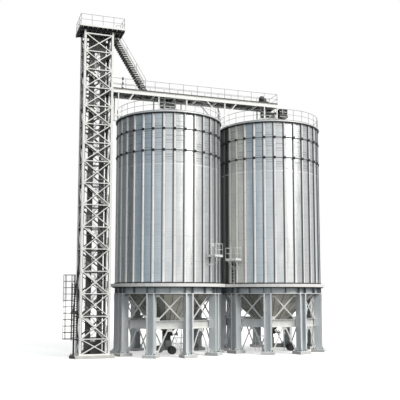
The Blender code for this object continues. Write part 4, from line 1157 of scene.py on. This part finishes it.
# A caged ladder climbs the tower's left side: square stiles, round rungs, and hoops of
# flat bar tied by upright straps, with stand-off brackets to the tower's post.
cage_steel = finish("cage_steel", (0.07, 0.075, 0.075), (0.17, 0.18, 0.18), 0.3, 0.5, 0.5)
LADDER_X, LADDER_Y = -11.665, -1.65
low, high, cage_low = 0.2503, 7.05, 1.60
sides = [(LADDER_X, LADDER_Y + y) for y in (-0.215, 0.215)]
rungs = level((LADDER_X, LADDER_Y - 0.21), (LADDER_X, LADDER_Y + 0.21),
              *spaced(low + 0.15, 0.3, 23))
reach = (LADDER_X + 12.63) / 0.85
outline = [(0, -0.24), (-0.20, -0.33), (-0.42, -0.365), (-0.68, -0.31), (-0.82, -0.18)]
outline = [(reach * x, y) for x, y in outline]
outline += [(-reach * 0.85 + 0.002, 0)] + [(x, -y) for x, y in reversed(outline)]
hoop = lifted(drawn([(x, y, 0) for x, y in outline]), 0.05)
modified(hoop, "SOLIDIFY", thickness=0.006, offset=0)
hoops = [moved(LADDER_X, LADDER_Y, z)
         for z in spaced(cage_low - 0.025, (high - cage_low - 0.05) / 10, 11)]
straps = upright(cage_low - 0.02, high - 0.04,
                 *[(LADDER_X + x * 0.985, LADDER_Y + y * 0.985) for x, y in outline[1::2]])
for x, y in sides:
    straps += level((x, y), (TOWER_LEFT + 0.004, y), *[z - 0.04 for z in LEVELS[:3]])
settle(joined([bars(upright(low, high, *sides), 0.03, 0.012, bevel=0.004), tubes(rungs, 0.014),
               copies(hoop, hoops), bars(straps, 0.02, 0.02, bevel=0.004)]),
       "caged_ladder", cage_steel, "ladder_steel", "tower_caged_ladder")


# A short service ladder with close rungs stands in front of the caged one. A post on its
# own dark plinth, a switch box and a raking strut hold it to the tower's corner.
REST_Y = -2.14
PROP_Y = REST_Y + 0.10
sides = ((-11.97, REST_Y), (-11.50, REST_Y))
rods = upright(1.45, 6.30, *sides) + level(sides[0], (TOWER_LEFT + 0.02, REST_Y), *LEVELS[:3])
props = upright(0.24, 3.75, (-11.76, PROP_Y))
props.append(laid((-11.84, PROP_Y, 3.75), (TOWER_LEFT + 0.04, PROP_Y, 8.60)))
pieces = [bars(rods, 0.025, 0.02, bevel=0.004),
          tubes(level(*sides, *spaced(1.55, 0.2, 24)), 0.022, 6),
          bars(props, 0.055, 0.055, bevel=0.008),
          block((-12.02, REST_Y - 0.10, 3.66), (-11.47, REST_Y + 0.20, 3.92), 0.015),
          block((-12.06, REST_Y - 0.28, 0.0), (-11.40, REST_Y + 0.44, 0.245), 0.02)]
settle(joined(pieces), "service_ladder", primer_and_painted_shade, "machine_dark")


# The conveyor bridge is two plain white stringers on knee-braced posts, with rolled lips and cover
# plates on their outer faces. Cross bearers under a floor of open planks, both near black as
# painted shade, flat wind bracing and toe boards finish it; the toe boards are near black as a
# painted shadow line.
assigned(tower_paint, "bridge_frame")
BRIDGE_X, BRIDGE_Y = (-8.7747, 7.78), (-1.40, 0.50)
STRINGER_LOW, STRINGER_TOP = 23.48, 23.80
STRINGER_MIDDLE = (STRINGER_LOW + STRINGER_TOP) / 2
BAYS = 8
stations = spaced(BRIDGE_X[0] + 0.06, (BRIDGE_X[1] - BRIDGE_X[0] - 0.12) / BAYS, BAYS + 1)


def along_bridge(y, z, inset=0.0):
    return level((BRIDGE_X[0] + inset, y), (BRIDGE_X[1] - inset, y), z)


boards, bearers, lips, plates, heads, strips = [], [], [], [], [], []
for y in spaced(BRIDGE_Y[0] + 0.15, 0.115, 15):
    boards += along_bridge(y, 23.69, 0.01)
bearer = (stations[-1] - stations[0]) / (3 * BAYS)
for x in spaced(stations[0] + bearer / 2, bearer, 3 * BAYS):
    bearers += level((x, BRIDGE_Y[0] + 0.10), (x, BRIDGE_Y[1] - 0.10), 23.63)
settle(joined([bars(boards, 0.05, 0.012), bars(bearers, 0.025, 0.05)]), "bridge_floor", tread_steel_painted_shade,
       "machine_dark")
for y, out in ((BRIDGE_Y[0], -1), (BRIDGE_Y[1], 1)):
    for z in (STRINGER_LOW + 0.010, STRINGER_TOP - 0.012):
        lips += along_bridge(y + out * 0.012, z)
    strips += along_bridge(y - out * 0.012, STRINGER_TOP + 0.075, 0.02)
    for x in stations[1:-1]:
        plates.append(moved(x, y - out * 0.006, STRINGER_MIDDLE))
        heads += [tipped(x + dx, y + out * 0.001, STRINGER_MIDDLE + dz, "X", -out * math.pi / 2)
                  for dx in (-0.10, 0.10) for dz in (-0.07, 0.07)]
plate = block((-0.17, -0.008, -0.12), (0.17, 0.008, 0.12))
settle(joined([bars(lips, 0.024, 0.010), copies(plate, plates)]), "bridge_gussets", tower_paint,
       "light_steel")
settle(copies(nut(0.018, 0.012), heads), "bridge_bolts", clamp_steel, "machine_dark")
settle(bars(strips, 0.010, 0.065, 0.060, 0.002), "bridge_toe_boards", casing_steel_painted_shade, "trunk_steel")
wind = []
for k in range(BAYS):
    ends = (BRIDGE_Y[0] + 0.05, BRIDGE_Y[1] - 0.05)[::1 if k % 2 else -1]
    wind += level((stations[k], ends[0]), (stations[k + 1], ends[1]), 23.515)
settle(bars(wind, 0.03, 0.005), "bridge_wind_bracing", grating_steel, "light_steel")


# A tube handrail with a middle rail and kick plate stands on both stringers and across
# the far end of the bridge.
loop = three_sides((BRIDGE_X[0] + 0.05, BRIDGE_Y[0] + 0.05),
                   (BRIDGE_X[1] - 0.05, BRIDGE_Y[1] - 0.05))
settle(handrail(loop, STRINGER_TOP + 0.0003, 1.05, 1.40), "bridge_handrail", rail_steel,
       "light_steel", "bridge_rail")


# The conveyor on the bridge is a closed chain trough with bolted covers and flanges,
# and a dark drive at its far end. A spout drops to each roof's collar.
# The trough is near black as painted shade.
assigned(casing_steel_painted_shade, "bridge_conveyor")
covers = [block((x, -0.39, 23.72), (x + 0.05, 0.31, 24.19), 0.006)
          for x in spaced(BRIDGE_X[0] + 0.4, 1.055, 16)]
covers.append(block((-8.72, -0.40, 24.155), (7.72, 0.32, 24.172)))
settle(joined(covers), "trough_flanges", flange_steel, "light_steel")
cowl = [(0.04, -0.47), (0.22, -0.47), (0.27, -0.44), (0.27, -0.42), (0.04, -0.42)]
drive = finned(0.255, 0.285, spaced(-0.40, 0.06, 14), 0.014, cowl, tipped(6.71, -0.12, 24.36))
bed = block((6.36, -0.62, 23.86), (7.10, -0.36, 24.10), 0.01)
settle(joined([drive, bed]), "bridge_drive", machine_paint, "machine_dark")
collars = [block((silo["x"] - 0.26, -0.28, z), (silo["x"] + 0.26, 0.26, z + 0.04), 0.006)
           for silo in SILOS.values() for z in (22.93, 23.16, 23.40)]
settle(joined(collars), "spout_flanges", flange_steel, "light_steel")


# A banded marker post stands on the bridge's front stringer. White frames of square
# tube with dark guard plates stand round both inlets. A dark motor drives the conveyor.
MARKER = (-7.62, -1.28, 0)
bands = [ring(0.0, r, z, z + 0.23, MARKER, 12)
         for z, r in ((23.80, 0.075), (24.26, 0.075), (24.72, 0.085))]
settle(joined(bands), "marker_bands", machine_paint, "machine_dark")
pole = [ring(0.0, 0.06, z, z + 0.25, MARKER, 12) for z in (24.02, 24.48)]
settle(joined(pole), "marker_post", tower_paint, "light_steel")
TIES = (22.90, 23.22)
white_bars, dark_bars, guards = [], [], []
for inlet in [silo["x"] for silo in SILOS.values()]:
    left, right = inlet - 0.52, inlet + 0.52
    white_bars += upright(22.40, 23.50, (inlet - 1.05, -0.50))
    white_bars += upright(22.60, 23.50, (left, -0.50), (left, 0.50), (right, -0.50), (right, 0.50))
    for start, end, y in ((inlet - 1.09, inlet - 0.48, -0.50), (left - 0.02, right + 0.02, -0.50),
                          (left - 0.02, right + 0.02, 0.50)):
        white_bars += level((start, y), (end, y), *TIES)
    for x in (left, right):
        dark_bars += level((x, -0.50), (x, 0.50), *TIES)
    guards += [block((inlet + dx, -0.49, z), (inlet + dx + 0.40, -0.46, z + 0.22), 0.006)
               for dx in (-1.01, -0.48, 0.03) for z in (22.62, 22.95)]
settle(bars(white_bars, 0.04, 0.04, bevel=0.006), "inlet_frames", tower_paint, "light_steel")
settle(bars(dark_bars, 0.04, 0.04, bevel=0.006), "inlet_ties", primer_and_painted_shade, "machine_dark")
settle(joined(guards), "inlet_guards", machine_paint, "machine_dark")
MOTOR = (6.33, -0.86, 24.34)
motor = spun([(0.0, -0.22), (0.25, -0.22), (0.29, -0.18), (0.29, 0.14), (0.22, 0.20), (0.0, 0.20)],
             24)
set_at(motor, tipped(*MOTOR, "Y"))
fins = copies(block((-0.16, -0.315, -0.014), (0.12, 0.315, 0.014), 0.004),
              [tipped(*MOTOR, "X", k * math.pi / 6) for k in range(6)])
feet = block((6.14, -1.08, 23.762), (6.50, -0.64, 24.12), 0.01)
case = block((6.52, -1.02, 23.80), (7.02, -0.62, 24.16), 0.05)
settle(joined([motor, fins, feet, case]), "bridge_motor", machine_paint, "machine_dark")


# A steep stair drops from the top deck to the bridge. Its treads stick out past two thin stringers,
# near black below as painted shade and light at the nose as a painted highlight, and each side has
# a tube handrail.
head, foot = Vector((STAIR_HEAD + 0.0003, 0, 28.58)), Vector((STAIR_FOOT, 0, 23.86))
strings, rails = [], []
for y in (STAIR_FRONT + 0.03, STAIR_BACK - 0.03):
    start, end = head + Vector((0, y, 0)), foot + Vector((0, y, 0))
    strings.append(laid(start, end))
    rails += stair_rail(start, end, (0.04, 0.35, 0.66, 0.96), (0.50, 0.97), 0.03)
STEPS = 24
down = [Matrix.Translation(head.lerp(foot, k / STEPS)) for k in range(1, STEPS)]
tread = block((-0.30, STAIR_FRONT + 0.004, -0.115), (0.09, STAIR_BACK - 0.004, 0.0), 0.01)
settle(copies(tread, down), "bridge_stair_treads", tread_steel_painted_shade, "machine_dark")
# Light noses on the dark treads: a painted highlight.
nose = block((-0.31, STAIR_FRONT, 0.0003), (0.10, STAIR_BACK, 0.055), 0.006)
settle(copies(nose, down), "bridge_stair_noses", stringer_paint_and_nose_highlight, "light_steel")
settle(bars(strings, 0.010, 0.03, 0.10), "bridge_stair_stringers", casing_steel_painted_shade, "light_steel",
       "bridge_stair")
settle(tubes(rails, 0.021, 6), "bridge_stair_rails", rail_steel, "light_steel")


# The fan that airs the right silo stands on a curb: a dark housing with louvres, steel
# straps and a rain cap. A round duct joins it to the inlet.
assigned(machine_paint, "right_roof_fan")
low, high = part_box("right_roof_fan")
parts = [block((low[0] - 0.01, low[1] - 0.01, z), (high[0] - 0.03, high[1] - 0.03, z + 0.035),
               0.006) for z in spaced(low[2] + 0.40, 0.10, 4)]
parts.append(block((low[0] + 0.02, low[1] + 0.02, high[2] - 0.05),
                   (high[0] - 0.02, high[1] - 0.02, high[2] + 0.01), 0.02))
duct_z = low[2] + 0.52
parts.append(tubes([laid((7.62, -0.55, duct_z), (low[0] + 0.05, -0.90, duct_z))], 0.11, 16))
settle(joined(parts), "fan_louvres", machine_paint, "machine_dark")
front, strap = low[1] - 0.03, low[0] + 0.265
parts = [block((strap, front, low[2] + 0.30), (strap + 0.07, front + 0.02, high[2]), 0.004)]
for z, top, depth, bevel in ((0.50, 0.56, 0.02, 0.004), (0.02, 0.09, 0.03, 0.01)):
    parts.append(block((low[0] - 0.02, front, low[2] + z),
                       (high[0] - 0.03, front + depth, low[2] + top), bevel))
settle(joined(parts), "fan_curb_and_straps", flange_steel, "light_steel")


low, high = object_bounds()
